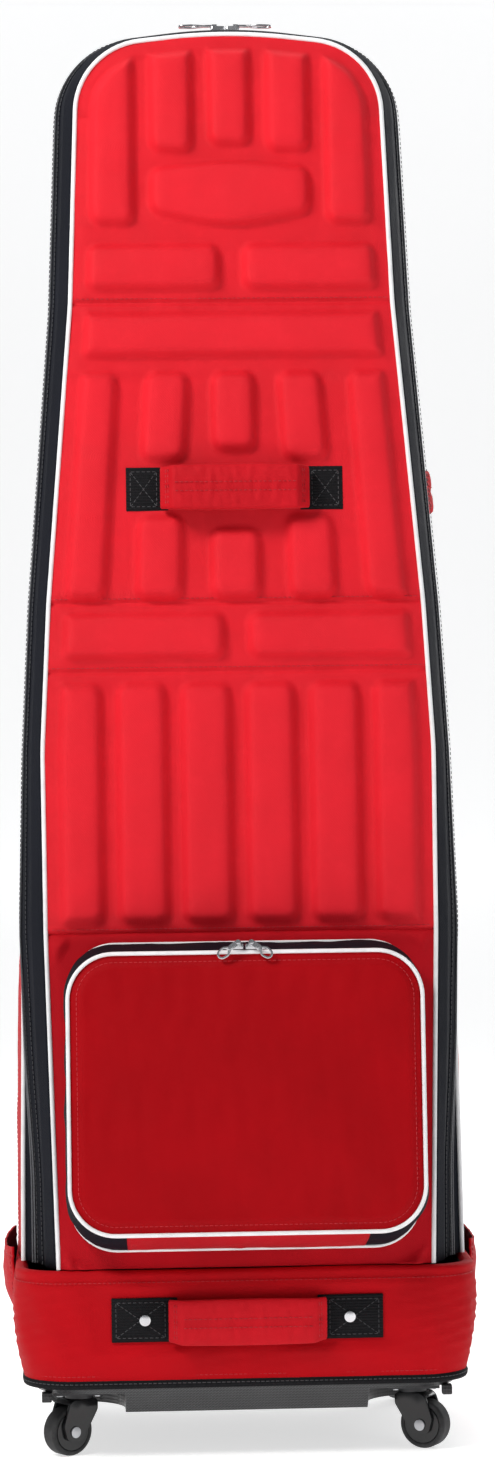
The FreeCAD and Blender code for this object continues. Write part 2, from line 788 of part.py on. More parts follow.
def pocket_pull():
    """A flat link with an eye round the slider's pin, and its ring, in the plane of the pocket's face."""
    half = link_width / 2
    outline = [(-half, -half, half * 0.95), (pull_link, -half, 1), (pull_link, half, 1), (-half, half, half * 0.95)]
    link = prism(rounded_wire(outline, level(-pull_thickness / 2)), Vector(0, 0, pull_thickness))
    pull = link.fuse(drop_ring(pocket_pull_length, pocket_pull_width))
    eye = Part.makeCylinder(pin_radius + eye_clearance, 4, Vector(0, 0, -2))
    pull = pull.cut(eye).removeSplitter()
    pull.rotate(Vector(0, 0, 0), Vector(1, 0, 0), 90)
    pull.rotate(Vector(0, 0, 0), Vector(0, 1, 0), pocket_pull_droop)
    middle = nose_reach + pin_slack + pull_thickness / 2
    pull.translate(Vector(0, -middle, slider_height + bridge_height / 2))
    return pull


def main_slider_frame(shape, side):
    """Put a slider built about the origin on the crown, on the left (-1) or the right (+1)."""
    placed = shape.copy()
    if side < 0:
        placed.rotate(Vector(0, 0, 0), Vector(0, 0, 1), 180)
    reach = side * (slider_length + slider_gap) / 2
    base = case_height + coil_proud + slider_lift
    placed.translate(Vector(0, zip_plane, base))
    turn = math.degrees(reach / (crown_radius + coil_proud + slider_lift))
    placed.rotate(Vector(0, zip_plane, case_height - crown_radius), Vector(0, 1, 0), turn)
    return lean(placed)


def pocket_slider_frame(shape, side):
    placed = shape.copy()
    if side < 0:
        placed = placed.mirror(Vector(0, 0, 0), Vector(1, 0, 0))
    reach = side * (pocket_slider_length + slider_gap) / 2
    plane = flap_start_plane() + flap_gap / 2
    placed.translate(Vector(reach, plane, pocket_high + piping_proud / 2 + slider_lift))
    return lean(placed)


def make_sliders():
    for side, word in ((-1, "left"), (1, "right")):
        add("main_slider_" + word, main_slider_frame(main_slider_body(), side))
        pull = main_pull()
        pull.translate(Vector(slider_length / 2 - pivot_inset, 0, slider_height + pivot_height))
        add("main_pull_" + word, main_slider_frame(pull, side))
        add("pocket_slider_" + word, pocket_slider_frame(pocket_slider_body(), side))
        add("pocket_pull_" + word, pocket_slider_frame(pocket_pull(), side))


# ---------------------------------------------------------------- slip pockets, straps, buckle
def make_slip_pockets():
    low_x = boot_face_x(slip_low)
    rim_x = boot_half_width_top
    outer = [(low_x, slip_low), (rim_x, boot_top), (rim_x, slip_high), (rim_x + slip_reach, slip_high)]
    outer += [(rim_x + slip_reach - 2, slip_belly), (low_x + 3, slip_low)]
    inside = [(boot_face_x(slip_low + 9) - 1, slip_low + 9), (rim_x - 1, boot_top), (rim_x - 1, slip_high + 1)]
    inside += [(rim_x + slip_reach - slip_wall, slip_high + 1)]
    inside += [(rim_x + slip_reach - 2 - slip_wall, slip_belly), (low_x + 4, slip_low + 9)]
    half = slip_half_length
    pocket = polygon_prism(outer, upright(-half), Vector(0, 2 * half, 0))
    hollow = polygon_prism(inside, upright(-half + slip_wall), Vector(0, 2 * (half - slip_wall), 0))
    right = pocket.cut(hollow)
    add("slip_pocket_right", right)
    add("slip_pocket_left", right.mirror(Vector(0, 0, 0), Vector(1, 0, 0)))


def make_side_buckle():
    near = wall_half_width(boot_top) + buckle_stand_off
    half = buckle_width / 2
    middle = strap_y
    split = buckle_low + buckle_socket_height
    socket = box((near, middle - half, buckle_low), (near + buckle_thickness, middle + half, split))
    room = box(
        (near + buckle_wall, middle - half + 2 * buckle_wall, split - tongue_length - 1),
        (near + buckle_thickness - buckle_wall, middle + half - 2 * buckle_wall, split + 1),
    )
    add("buckle_socket", socket.cut(room))
    seat = split + tongue_clearance
    plug = box((near, middle - half + 2, seat), (near + buckle_thickness, middle + half - 2, seat + buckle_plug_height))
    slack = tongue_clearance
    tongue = box(
        (near + buckle_wall + slack, middle - half + 2 * buckle_wall + slack, split - tongue_length),
        (near + buckle_thickness - buckle_wall - slack, middle + half - 2 * buckle_wall - slack, seat),
    )
    add("buckle_plug", plug.fuse(tongue).removeSplitter())
    web = strap_width / 2
    upper = wall_strap(seat + 3, strap_high, middle, web)
    lower = box((near - strap_thickness, middle - web, boot_top), (near, middle + web, split - 4))
    tail_x = near + buckle_thickness
    tail = box((tail_x, middle - web, split - 4 - tail_length), (tail_x + strap_thickness, middle + web, split - 4))
    left = wall_strap(boot_top, strap_high, middle, web).mirror(Vector(0, 0, 0), Vector(1, 0, 0))
    add("side_straps", upper, lower, tail, left)


def wall_strap(low, high, middle, web):
    """A flat strap up the right wall of the rear shell."""
    low_x = wall_half_width(low)
    high_x = wall_half_width(high)
    points = [(low_x, low), (low_x + strap_thickness, low), (high_x + strap_thickness, high), (high_x, high)]
    return polygon_prism(points, upright(middle - web), Vector(0, 2 * web, 0))


# ---------------------------------------------------------------- casters
def make_caster_plates():
    plates = []
    screws = []
    head_low = well_roof - plate_thickness - screw_head_height
    for x, y in caster_places().values():
        half = plate_size / 2
        plate = box((x - half, y - half, well_roof - plate_thickness), (x + half, y + half, well_roof))
        boss_low = well_roof - plate_thickness - boss_height
        boss = Part.makeCylinder(boss_radius, boss_height, Vector(x, y, boss_low))
        bore = Part.makeCylinder(stem_radius + running_clearance, stem_engagement, Vector(x, y, boss_low))
        plate = plate.fuse(boss).cut(bore)
        for hole in screw_bars(x, y, screw_radius + screw_clearance, well_roof - plate_thickness, well_roof):
            plate = plate.cut(hole)
        plates.append(plate.removeSplitter())
        shanks = screw_bars(x, y, screw_radius, well_roof - plate_thickness, well_roof + tray_wall + 2)
        heads = screw_bars(x, y, screw_head_radius, head_low, well_roof - plate_thickness)
        for shank, head in zip(shanks, heads):
            screws.append(shank.fuse(head).removeSplitter())
    add("caster_plates", *plates)
    add("caster_screws", *screws)


def turned_to(shape, x, y, heading):
    """Turn a piece built with its trail along +X to its heading, and put it on its stem's axis."""
    placed = shape.copy()
    placed.rotate(Vector(0, 0, 0), Vector(0, 0, 1), heading)
    placed.translate(Vector(x, y, 0))
    return placed


def make_caster(name, x, y, heading):
    crown_low = 2 * wheel_radius + fork_top_gap
    boss_low = well_roof - plate_thickness - boss_height
    crown_high = boss_low - swivel_gap
    cheek_in = wheel_width / 2 + cheek_clearance
    cheek_out = cheek_in + cheek_thickness
    back = -12.0
    nose = trail + 8.0
    cheek = [(back, crown_high, 4), (nose - 4, crown_high, 8), (nose + 4, wheel_radius + 6, 8)]
    cheek += [(nose, wheel_radius - 8, 6), (trail - 8, wheel_radius - 8, 6), (back, crown_low - 6, 6)]
    outline = rounded_wire(cheek, upright(-cheek_out))
    fork = prism(outline, Vector(0, 2 * cheek_out, 0))
    slot = box((-50, -cheek_in, 0), (80, cheek_in, crown_low))
    fork = fork.cut(slot)
    fork = fork.fuse(Part.makeCylinder(stem_radius, stem_engagement, Vector(0, 0, crown_high)))
    axle_start = Vector(trail, -cheek_out, wheel_radius)
    fork = fork.cut(Part.makeCylinder(axle_radius, 2 * cheek_out, axle_start, Vector(0, 1, 0)))
    add("caster_fork_" + name, turned_to(fork.removeSplitter(), x, y, heading))

    axle = Part.makeCylinder(axle_radius, 2 * cheek_out, axle_start, Vector(0, 1, 0))
    for side in (-1, 1):
        head_start = Vector(trail, side * cheek_out, wheel_radius)
        head = Part.makeCylinder(axle_head_radius, axle_head_height, head_start, Vector(0, side, 0))
        axle = axle.fuse(head)
    add("caster_axle_" + name, turned_to(axle.removeSplitter(), x, y, heading))

    half = wheel_width / 2
    hub_radius = wheel_radius - tyre_thickness
    wheel_start = Vector(trail, -half, wheel_radius)
    hub = Part.makeCylinder(hub_radius, wheel_width, wheel_start, Vector(0, 1, 0))
    hub = hub.cut(Part.makeCylinder(axle_radius + running_clearance, wheel_width, wheel_start, Vector(0, 1, 0)))
    add("caster_hub_" + name, turned_to(hub, x, y, heading))
    tyre = Part.makeCylinder(wheel_radius, wheel_width, wheel_start, Vector(0, 1, 0))
    tyre = tyre.makeFillet(3.0, [edge for edge in tyre.Edges if edge.Length > 2 * wheel_width])
    tyre = tyre.cut(Part.makeCylinder(hub_radius, wheel_width, wheel_start, Vector(0, 1, 0)))
    add("caster_tyre_" + name, turned_to(tyre, x, y, heading))


make_base_tray()
make_boot()
make_rear_shell()
make_rear_edge()
make_lid()
make_handles()
make_pocket()
make_sliders()
make_slip_pockets()
make_side_buckle()
make_caster_plates()
for caster_name, (stem_x, stem_y) in caster_places().items():
    make_caster(caster_name, stem_x, stem_y, caster_headings[caster_name])

# ---- put the origin at the centre of the footprint, on the floor ----
bounds = Part.makeCompound([solid for solids in nodes.values() for solid in solids]).optimalBoundingBox()
shift = Vector(-bounds.Center.x, -bounds.Center.y, -bounds.ZMin)
print("size", round(bounds.XLength, 1), round(bounds.YLength, 1), round(bounds.ZLength, 1))
print("shift", round(shift.x, 3), round(shift.y, 3), round(shift.z, 3), "lean", round(lean_angle, 4))

os.makedirs("parts", exist_ok=True)
for node_name, solids in nodes.items():
    whole = solids[0] if len(solids) == 1 else Part.makeCompound(solids)
    whole.translate(shift)
    if not whole.isValid():
        print("not valid:", node_name)
    print(node_name, len(whole.Solids), round(whole.Volume / 1000, 2))
    whole.exportStep("parts/" + node_name + ".step")
print(len(nodes), "nodes")
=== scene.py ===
import json
import math

import bmesh
import bpy
import numpy as np
from mathutils import Matrix, Vector


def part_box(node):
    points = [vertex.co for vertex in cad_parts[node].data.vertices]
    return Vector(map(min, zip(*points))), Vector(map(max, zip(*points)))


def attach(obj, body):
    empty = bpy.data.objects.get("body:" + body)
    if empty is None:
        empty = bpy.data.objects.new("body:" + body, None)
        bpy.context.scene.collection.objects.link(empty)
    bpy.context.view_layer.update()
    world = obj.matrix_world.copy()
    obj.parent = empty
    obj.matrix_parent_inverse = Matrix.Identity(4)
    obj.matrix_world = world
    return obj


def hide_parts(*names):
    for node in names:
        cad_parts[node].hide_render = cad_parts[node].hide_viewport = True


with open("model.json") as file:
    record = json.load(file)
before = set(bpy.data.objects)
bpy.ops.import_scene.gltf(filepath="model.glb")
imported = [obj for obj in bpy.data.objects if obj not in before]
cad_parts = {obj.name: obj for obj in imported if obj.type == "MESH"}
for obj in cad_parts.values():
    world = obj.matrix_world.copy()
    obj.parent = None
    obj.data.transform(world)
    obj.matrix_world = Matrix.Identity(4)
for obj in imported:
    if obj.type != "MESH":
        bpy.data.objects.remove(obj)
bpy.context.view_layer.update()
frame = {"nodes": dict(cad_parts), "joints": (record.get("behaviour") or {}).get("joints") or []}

# Golf travel case: a tall padded case with a zipped fold-down front, on a hard base with swivel casters.
# Metres. +Z up, the zipped front faces -Y.

# ---------------------------------------------------------------- places taken from the frame
JOINTS = {joint["name"]: joint for joint in frame["joints"]}
BOOT_LOW, BOOT_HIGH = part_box("boot")
BOOT_BOTTOM = BOOT_LOW.z
BOOT_TOP = BOOT_HIGH.z
BACK = BOOT_HIGH.y
MIDDLE_Y = (BOOT_LOW.y + BOOT_HIGH.y) / 2
PANEL_STEP = 0.008          # the panel stands this far behind the boot's front edge
ACROSS = np.array((1.0, 0.0, 0.0))
FORWARD = np.array((0.0, -1.0, 0.0))
INWARD = np.array(JOINTS["main_slider_right_run"]["axis"], float)
UP = np.cross(ACROSS, INWARD)
PANEL_FOOT = np.array((0.0, BOOT_LOW.y + PANEL_STEP, BOOT_TOP))
CASE_CENTRE = (0.0, MIDDLE_Y, 0.62)

# ---------------------------------------------------------------- outline of the case
# (height, half width of the front panel, flare out to the zipper)
LEVELS = [
    (BOOT_TOP, 0.171, 0.029),
    (0.474, 0.179, 0.019),
    (0.640, 0.180, 0.013),
    (0.774, 0.173, 0.013),
    (1.049, 0.150, 0.014),
]
CROWN_HALF = 0.141
CROWN_FLARE = 0.013
CROWN_RISE = 0.025
CROWN_RADIUS = 0.475
TOP_CORNER = 0.070
PANEL_FLATTER = 0.010       # the panel's edge is flatter at the crown than the zipper line
SIDE_BLEND = 0.42           # radius that blends the straight runs of the sides
CASE_TOP = 1.314
PANEL_DROP = 0.011          # the panel's edge lies this far inside the zipper line at the crown
SHELL_START = 0.0664        # depth at which the rear shell begins
GAP = 0.0004                # clearance between the case and the boot's top edge
SEAMS = (1.050, 0.774, 0.711)
PANEL_LOW = 0.474           # seam between the moulded panel and the soft one below it
PADDING = 0.0045            # thickness of the padded cloth


def leaned(x, depth, height):
    """Points on the sloping front: across, into the case from the panel's plane, and up the slope."""
    x, depth, height = np.broadcast_arrays(x, depth, height)
    return (
        PANEL_FOOT
        + x[..., None] * ACROSS
        + depth[..., None] * INWARD
        + (height - BOOT_TOP)[..., None] * UP
    )


def foot_height(depth):
    """Height up the slope at which a line at this depth meets the boot's top edge."""
    return BOOT_TOP + (GAP - depth * INWARD[2]) / UP[2]


def rounded_path(corners, arc_steps, run_steps):
    """Points along a path through corners (x, z, radius), with round arcs where a radius is given."""
    knots = [np.array(corner[:2], float) for corner in corners]
    legs = []
    for index, corner in enumerate(corners):
        here = knots[index]
        if corner[2] <= 0:
            legs.append([here])
            continue
        back = knots[index - 1] - here
        ahead = knots[(index + 1) % len(knots)] - here
        room = 0.49 * min(np.linalg.norm(back), np.linalg.norm(ahead))
        back, ahead = back / np.linalg.norm(back), ahead / np.linalg.norm(ahead)
        half_turn = (math.pi - math.acos(float(back @ ahead))) / 2
        reach = min(corner[2] * math.tan(half_turn), room)
        start = here + back * reach
        bisector = (back + ahead) / np.linalg.norm(back + ahead)
        centre = here + bisector * reach / math.sin(half_turn)
        arm = start - centre
        hand = math.copysign(1, back[1] * ahead[0] - back[0] * ahead[1])
        leg = []
        for step in range(arc_steps[index] + 1):
            angle = hand * 2 * half_turn * step / arc_steps[index]
            turned = (arm[0] * math.cos(angle) - arm[1] * math.sin(angle),
                      arm[0] * math.sin(angle) + arm[1] * math.cos(angle))
            leg.append(centre + np.array(turned))
        legs.append(leg)
    points = []
    for index, leg in enumerate(legs):
        points += leg
        if index + 1 < len(legs):
            steps = run_steps[index]
            gap = legs[index + 1][0] - leg[-1]
            points += [leg[-1] + gap * step / steps for step in range(1, steps)]
    return np.array(points)


def half_width(height, share):
    """Half width of the outline on its straight runs, without the blends."""
    heights = [level[0] for level in LEVELS]
    halves = [level[1] + level[2] * share for level in LEVELS]
    if height < heights[1]:
        slope = (halves[1] - halves[0]) / (heights[1] - heights[0])
        return halves[0] + slope * (height - heights[0])
    return float(np.interp(height, heights, halves))


def outline(share, depth=0.0, inset=0.0, foot=None):
    """The case's outline from the right foot over the crown: 0 is the panel's edge, 1 the zipper line."""
    foot = foot_height(depth) if foot is None else foot
    right = [(half_width(foot, share) - inset, foot, 0.0)]
    for height, half, flare in LEVELS[1:]:
        right.append((half + flare * share - inset, height, SIDE_BLEND - inset))
    rise = CROWN_RISE - PANEL_FLATTER * (1 - share)
    crown_angle = math.atan2(rise, CROWN_HALF + CROWN_FLARE)
    apex = CASE_TOP + CROWN_RADIUS * (1 / math.cos(crown_angle) - 1) - (1 - share) * PANEL_DROP - inset
    right.append((CROWN_HALF + CROWN_FLARE * share - inset, apex - rise, max(TOP_CORNER - inset, 0.012)))
    corners = right + [(0.0, apex, CROWN_RADIUS - inset)] + [(-x, z, r) for x, z, r in reversed(right)]
    arcs = [0, 6, 6, 6, 6, 14]
    runs = [36, 17, 14, 30, 22, 8]
    return rounded_path(corners, arcs + [14] + arcs[::-1], runs + runs[::-1])


def level_loop(half_x, half_y, corner, side_steps=(44, 36), arc_steps=12):
    """A closed rounded rectangle about the case's middle, seen from above, starting at the back."""
    corners = [(0.0, half_y, 0.0), (half_x, half_y, corner), (half_x, -half_y, corner)]
    corners += [(-half_x, -half_y, corner), (-half_x, half_y, corner), (0.0, half_y, 0.0)]
    across, along = side_steps
    points = rounded_path(corners, [0, arc_steps, arc_steps, arc_steps, arc_steps, 0],
                          [across // 2, along, across, along, across // 2])
    points[:, 1] += MIDDLE_Y
    return points


# ---------------------------------------------------------------- mesh helpers
def only(piece):
    """Make this the one selected and active object."""
    bpy.ops.object.select_all(action="DESELECT")
    piece.select_set(True)
    bpy.context.view_layer.objects.active = piece


def run_in_edit(piece, *steps):
    """Run edit-mode steps on the whole mesh."""
    only(piece)
    bpy.ops.object.mode_set(mode="EDIT")
    bpy.ops.mesh.select_all(action="SELECT")
    for step in steps:
        step()
    bpy.ops.object.mode_set(mode="OBJECT")


def merge_points(piece, distance=1e-6):
    run_in_edit(piece, lambda: bpy.ops.mesh.remove_doubles(threshold=distance))


def face_outward(piece):
    run_in_edit(piece, lambda: bpy.ops.mesh.normals_make_consistent(inside=False))


def apply_all(piece):
    only(piece)
    for modifier in list(piece.modifiers):
        bpy.ops.object.modifier_apply(modifier=modifier.name)


def face_away(piece, centre):
    """Turn an open sheet so that its faces look away from a point."""
    mesh = piece.data
    total = sum((face.center - Vector(centre)).dot(face.normal) * face.area for face in mesh.polygons)
    if total < 0:
        mesh.flip_normals()


def cloth_piece(name, points, loop=False, pad_highlight=None):
    """A sheet laid through rows of points, with a cloth map in metres along its threads."""
    rows, columns = points.shape[:2]
    bpy.ops.object.select_all(action="DESELECT")
    bpy.ops.mesh.primitive_grid_add(x_subdivisions=columns - 1, y_subdivisions=rows - 1, size=2)
    piece = bpy.context.object
    piece.name = name
    piece.data.name = name
    mesh = piece.data
    flat = np.empty(len(mesh.vertices) * 3)
    mesh.vertices.foreach_get("co", flat)
    flat = flat.reshape(-1, 3)
    column = np.rint((flat[:, 0] + 1) / 2 * (columns - 1)).astype(int)
    row = np.rint((flat[:, 1] + 1) / 2 * (rows - 1)).astype(int)
    mesh.vertices.foreach_set("co", points[row, column].ravel())
    along = np.zeros((rows, columns))
    along[:, 1:] = np.cumsum(np.linalg.norm(np.diff(points, axis=1), axis=2), axis=1)
    along -= along[:, columns // 2][:, None]
    up = np.zeros((rows, columns))
    up[1:, :] = np.cumsum(np.linalg.norm(np.diff(points, axis=0), axis=2), axis=0)
    up = np.repeat(up[:, columns // 2][:, None], columns, axis=1)
    corner = np.empty(len(mesh.loops), dtype=np.int32)
    mesh.loops.foreach_get("vertex_index", corner)
    uv = mesh.uv_layers[0]
    uv.name = "cloth"
    uv.data.foreach_set("uv", np.stack([along[row, column][corner], up[row, column][corner]], 1).ravel())
    # Per-point pad height, stored for a finish that paints raised pads lighter as a painted highlight.
    if pad_highlight is not None:
        attribute = mesh.attributes.new("pad_highlight", "FLOAT", "POINT")
        attribute.data.foreach_set("value", pad_highlight[row, column].astype(np.float32))
    mesh.update()
    if loop:
        merge_points(piece)
    return piece


def thicken(piece, thickness):
    """Give a sheet its thickness on the inner side, with the lining in the second material slot."""
    solid = piece.modifiers.new("wall", "SOLIDIFY")
    solid.thickness = thickness
    solid.offset = -1
    solid.material_offset = 1
    apply_all(piece)


def finish_sheet(piece, centre, thickness, body, slot, *nodes):
    """Finish an open sheet round the case: faces outward, soft shading, thickness, and its seat."""
    face_away(piece, centre)
    smooth(piece)
    thicken(piece, thickness)
    seat(piece, body, slot, *nodes)


def smooth(piece, angle=None):
    only(piece)
    if angle is None:
        bpy.ops.object.shade_smooth()
    else:
        bpy.ops.object.shade_smooth_by_angle(angle=math.radians(angle))


def dress(piece, *finishes):
    piece.data.materials.clear()
    for finish in finishes:
        piece.data.materials.append(finish)


def seat(piece, body, slot, *nodes):
    """The piece rides on a body and stands for CAD nodes; slot is not used."""
    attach(piece, body)
    if nodes:
        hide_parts(*nodes)
    return piece


def ramp(low, high, value):
    """Smooth step from 0 at low to 1 at high."""
    t = np.clip((np.asarray(value, float) - low) / (high - low), 0, 1)
    return t * t * (3 - 2 * t)


def ripple(u, v, scale, seed, octaves=3):
    """Soft seeded waves over a surface, about -1 to 1."""
    noise = np.random.default_rng(seed)
    total = np.zeros(np.broadcast(u, v).shape)
    for octave in range(octaves):
        for _ in range(4):
            angle = noise.uniform(0, math.pi)
            phase = noise.uniform(0, 2 * math.pi)
            count = 2 * math.pi / (scale * noise.uniform(0.7, 1.3)) * 1.8 ** octave
            wave = np.sin(count * (u * math.cos(angle) + v * math.sin(angle)) + phase)
            total += wave * 0.35 / 1.7 ** octave
    return total / 1.6


def mesh_piece(name, vertices, faces):
    mesh = bpy.data.meshes.new(name)
    mesh.from_pydata(vertices, [], faces)
    mesh.update()
    piece = bpy.data.objects.new(name, mesh)
    bpy.context.scene.collection.objects.link(piece)
    return piece


def repeated(name, unit, frames):
    """Copies of one small shape, each laid on a frame (origin, along, outward), in one mesh."""
    shape = np.array([vertex.co for vertex in unit.data.vertices])
    polygons = [tuple(face.vertices) for face in unit.data.polygons]
    vertices, faces = [], []
    for origin, along, outward in frames:
        along = along / np.linalg.norm(along)
        side = np.cross(outward, along)
        side = side / np.linalg.norm(side)
        outward = np.cross(along, side)
        base = len(vertices)
        vertices += list(origin + shape[:, :1] * along + shape[:, 1:2] * side + shape[:, 2:] * outward)
        faces += [tuple(base + index for index in polygon) for polygon in polygons]
    piece = mesh_piece(name, vertices, faces)
    smooth(piece)
    return piece


def along_path(points, outward, pitch):
    """Frames at even steps along a line of points; outward is one direction or one per point."""
    points = np.asarray(points, float)
    outward = np.broadcast_to(np.asarray(outward, float), points.shape)
    lengths = np.concatenate([[0.0], np.cumsum(np.linalg.norm(np.diff(points, axis=0), axis=1))])
    count = max(int(lengths[-1] / pitch), 1)
    frames = []
    for number in range(count):
        place = (number + 0.5) * lengths[-1] / count
        origin = np.array([np.interp(place, lengths, points[:, axis]) for axis in range(3)])
        ahead = np.array([np.interp(place + 0.0005, lengths, points[:, axis]) for axis in range(3)])
        behind = np.array([np.interp(place - 0.0005, lengths, points[:, axis]) for axis in range(3)])
        normal = np.array([np.interp(place, lengths, outward[:, axis]) for axis in range(3)])
        frames.append((origin, ahead - behind, normal))
    return frames


def tube(name, points, radius, closed=False, sides=5):
    """A round cord laid along points, such as piping or wire, as a mesh."""
    curve = bpy.data.curves.new(name, "CURVE")
    curve.dimensions = "3D"
    curve.bevel_depth = radius
    curve.bevel_resolution = sides
    curve.use_fill_caps = True
    spline = curve.splines.new("POLY")
    spline.points.add(len(points) - 1)
    spline.points.foreach_set("co", np.c_[points, np.ones(len(points))].ravel())
    spline.use_cyclic_u = closed
    piece = bpy.data.objects.new(name, curve)
    bpy.context.scene.collection.objects.link(piece)
    only(piece)
    bpy.ops.object.convert(target="MESH")
    piece = bpy.context.object
    face_outward(piece)
    smooth(piece)
    return piece


# ---------------------------------------------------------------- finishes
class Finish:
    """A material being wired up, node by node."""

    def __init__(self, name):
        self.material = bpy.data.materials.new(name)
        self.material.use_nodes = True
        self.tree = self.material.node_tree
        self.shader = self.tree.nodes["Principled BSDF"]

    def node(self, kind, **values):
        made = self.tree.nodes.new(kind)
        for key, value in values.items():
            if hasattr(made, key):
                setattr(made, key, value)
            else:
                made.inputs[key].default_value = value
        return made

    def link(self, source, target):
        self.tree.links.new(source, target)

    def math(self, operation, first, second=None):
        made = self.node("ShaderNodeMath", operation=operation)
        for place, value in enumerate((first, second)):
            if value is None:
                continue
            if isinstance(value, (int, float)):
                made.inputs[place].default_value = value
            else:
                self.link(value, made.inputs[place])
        return made.outputs[0]

    def object_point(self):
        return self.node("ShaderNodeTexCoord").outputs["Object"]

    def cloth_point(self):
        return self.node("ShaderNodeUVMap", uv_map="cloth").outputs["UV"]

    def noise(self, point, scale, detail=4.0, roughness=0.55, distortion=0.0):
        made = self.node("ShaderNodeTexNoise", Scale=scale, Detail=detail, Roughness=roughness,
                         Distortion=distortion)
        self.link(point, made.inputs["Vector"])
        return made.outputs["Fac"]

    def spread(self, value, low, high, to_low=0.0, to_high=1.0):
        made = self.node("ShaderNodeMapRange")
        self.link(value, made.inputs["Value"])
        for key, amount in (("From Min", low), ("From Max", high), ("To Min", to_low), ("To Max", to_high)):
            made.inputs[key].default_value = amount
        return made.outputs["Result"]

    def mix(self, share, first, second):
        """A blend of two colours; either may be a fixed colour or an output."""
        made = self.node("ShaderNodeMix", data_type="RGBA")
        if isinstance(share, (int, float)):
            made.inputs[0].default_value = share
        else:
            self.link(share, made.inputs[0])
        for place, value in ((6, first), (7, second)):
            if isinstance(value, tuple):
                made.inputs[place].default_value = (*value, 1.0)
            else:
                self.link(value, made.inputs[place])
        return made.outputs[2]

    def waves(self, point, pitch_across, pitch_along, stagger=0.0):
        """Two crossed waves of thread, each at its own pitch in metres."""
        split = self.node("ShaderNodeSeparateXYZ")
        self.link(point, split.inputs[0])
        across = self.math("MULTIPLY", split.outputs[0], 2 * math.pi / pitch_across)
        along = self.math("MULTIPLY", split.outputs[1], 2 * math.pi / pitch_along)
        if stagger:
            across = self.math("ADD", across, self.math("MULTIPLY", along, stagger))
        return self.math("SINE", across), self.math("SINE", along)

    def bump(self, height, strength, distance, below=None):
        made = self.node("ShaderNodeBump", Strength=strength, Distance=distance)
        self.link(height, made.inputs["Height"])
        if below is not None:
            self.link(below, made.inputs["Normal"])
        return made.outputs["Normal"]

    def done(self, colour, normal=None, roughness=None, **fixed):
        for key, value in fixed.items():
            self.shader.inputs[key.replace("_", " ")].default_value = value
        if isinstance(colour, tuple):
            self.shader.inputs["Base Color"].default_value = (*colour, 1.0)
        else:
            self.link(colour, self.shader.inputs["Base Color"])
        if normal is not None:
            self.link(normal, self.shader.inputs["Normal"])
        if roughness is not None:
            if isinstance(roughness, (int, float)):
                self.shader.inputs["Roughness"].default_value = roughness
            else:
                self.link(roughness, self.shader.inputs["Roughness"])
        return self.material


def woven(name, bright, deep, pitch, bump=0.5, sheen=0.04, rough=0.62, worn=None, pad_highlight=None, crease=0.0,
          mapped=True, shine=0.22):
    """Plain-woven cloth: crossed threads, a mottled dye, a little fuzz and soft creases, and where asked a
    painted highlight that lightens raised pads, leaving painted shade in the channels.
    """
    f = Finish(name)
    solid = f.object_point()
    point = f.cloth_point() if mapped else solid
    warp, weft = f.waves(point, pitch, pitch)
    basket = f.math("MULTIPLY", warp, weft)
    slub = f.noise(point, 900.0, 2.0, 0.7)
    thread = f.math("ADD", f.math("MULTIPLY", basket, 0.5), slub)
    cloud = f.noise(solid, 14.0, 5.0, 0.6)
    shade = f.spread(f.math("ADD", f.math("MULTIPLY", thread, 0.3), cloud), 0.35, 1.15)
    colour = f.mix(shade, deep, bright)
    if worn is not None:
        rub = f.math("MULTIPLY", f.spread(f.noise(solid, 55.0, 6.0, 0.7), 0.52, 0.8), 0.35)
        colour = f.mix(rub, colour, worn)
    # Painted highlight: raised pads are painted lighter by their height, which leaves painted shade in the
    # channels between them.
    if pad_highlight is not None:
        raised = f.node("ShaderNodeAttribute", attribute_name="pad_highlight").outputs["Fac"]
        colour = f.mix(f.math("MULTIPLY", raised, pad_highlight[0]), colour, pad_highlight[1])
    normal = f.bump(thread, bump, 0.0004)
    if crease:
        wrinkle = f.noise(solid, 22.0, 3.0, 0.5, 0.6)
        normal = f.bump(wrinkle, crease, 0.006, normal)
    roughness = f.spread(cloud, 0.3, 0.7, rough - 0.05, rough + 0.07)
    return f.done(colour, normal, roughness, Sheen_Weight=sheen, Sheen_Roughness=0.4,
                  Specular_IOR_Level=shine)


# The panel's raised pads are painted a lighter red: a painted highlight, with painted shade left in the
# channels.
panel_red = woven("panel_red", (0.80, 0.010, 0.024), (0.60, 0.004, 0.012), 0.0015, 0.55,
                  worn=(0.84, 0.018, 0.034), pad_highlight=(0.25, (0.84, 0.014, 0.028)))
shell_red = woven("shell_red", (0.60, 0.003, 0.012), (0.42, 0.001, 0.006), 0.0015, 0.6,
                  crease=0.25, shine=0.12)
lower_red = woven("lower_red", (0.56, 0.003, 0.012), (0.40, 0.001, 0.006), 0.0015, 0.6,
                  crease=0.3, shine=0.12)
pocket_red = woven("pocket_red", (0.42, 0.001, 0.005), (0.31, 0.0005, 0.003), 0.0010, 0.4, sheen=0.0,
                   rough=0.5, crease=0.08, shine=0.07)
boot_red = woven("boot_red", (0.58, 0.002, 0.008), (0.42, 0.001, 0.005), 0.0015, 0.6, sheen=0.0,
                 crease=0.2, shine=0.10)
handle_red = woven("handle_red", (0.66, 0.006, 0.016), (0.47, 0.002, 0.008), 0.0013, 0.55,
                   crease=0.25, shine=0.15)
gusset_navy = woven("gusset_navy", (0.013, 0.014, 0.021), (0.005, 0.006, 0.010), 0.0014, 0.7, sheen=0.0,
                    crease=0.2, shine=0.06)
tape_navy = woven("tape_navy", (0.012, 0.013, 0.020), (0.005, 0.006, 0.009), 0.0011, 0.7,
                  sheen=0.0, shine=0.06)
lining_grey = woven("lining_grey", (0.075, 0.077, 0.083), (0.045, 0.046, 0.050), 0.0012, 0.4,
                    sheen=0.05, rough=0.7)


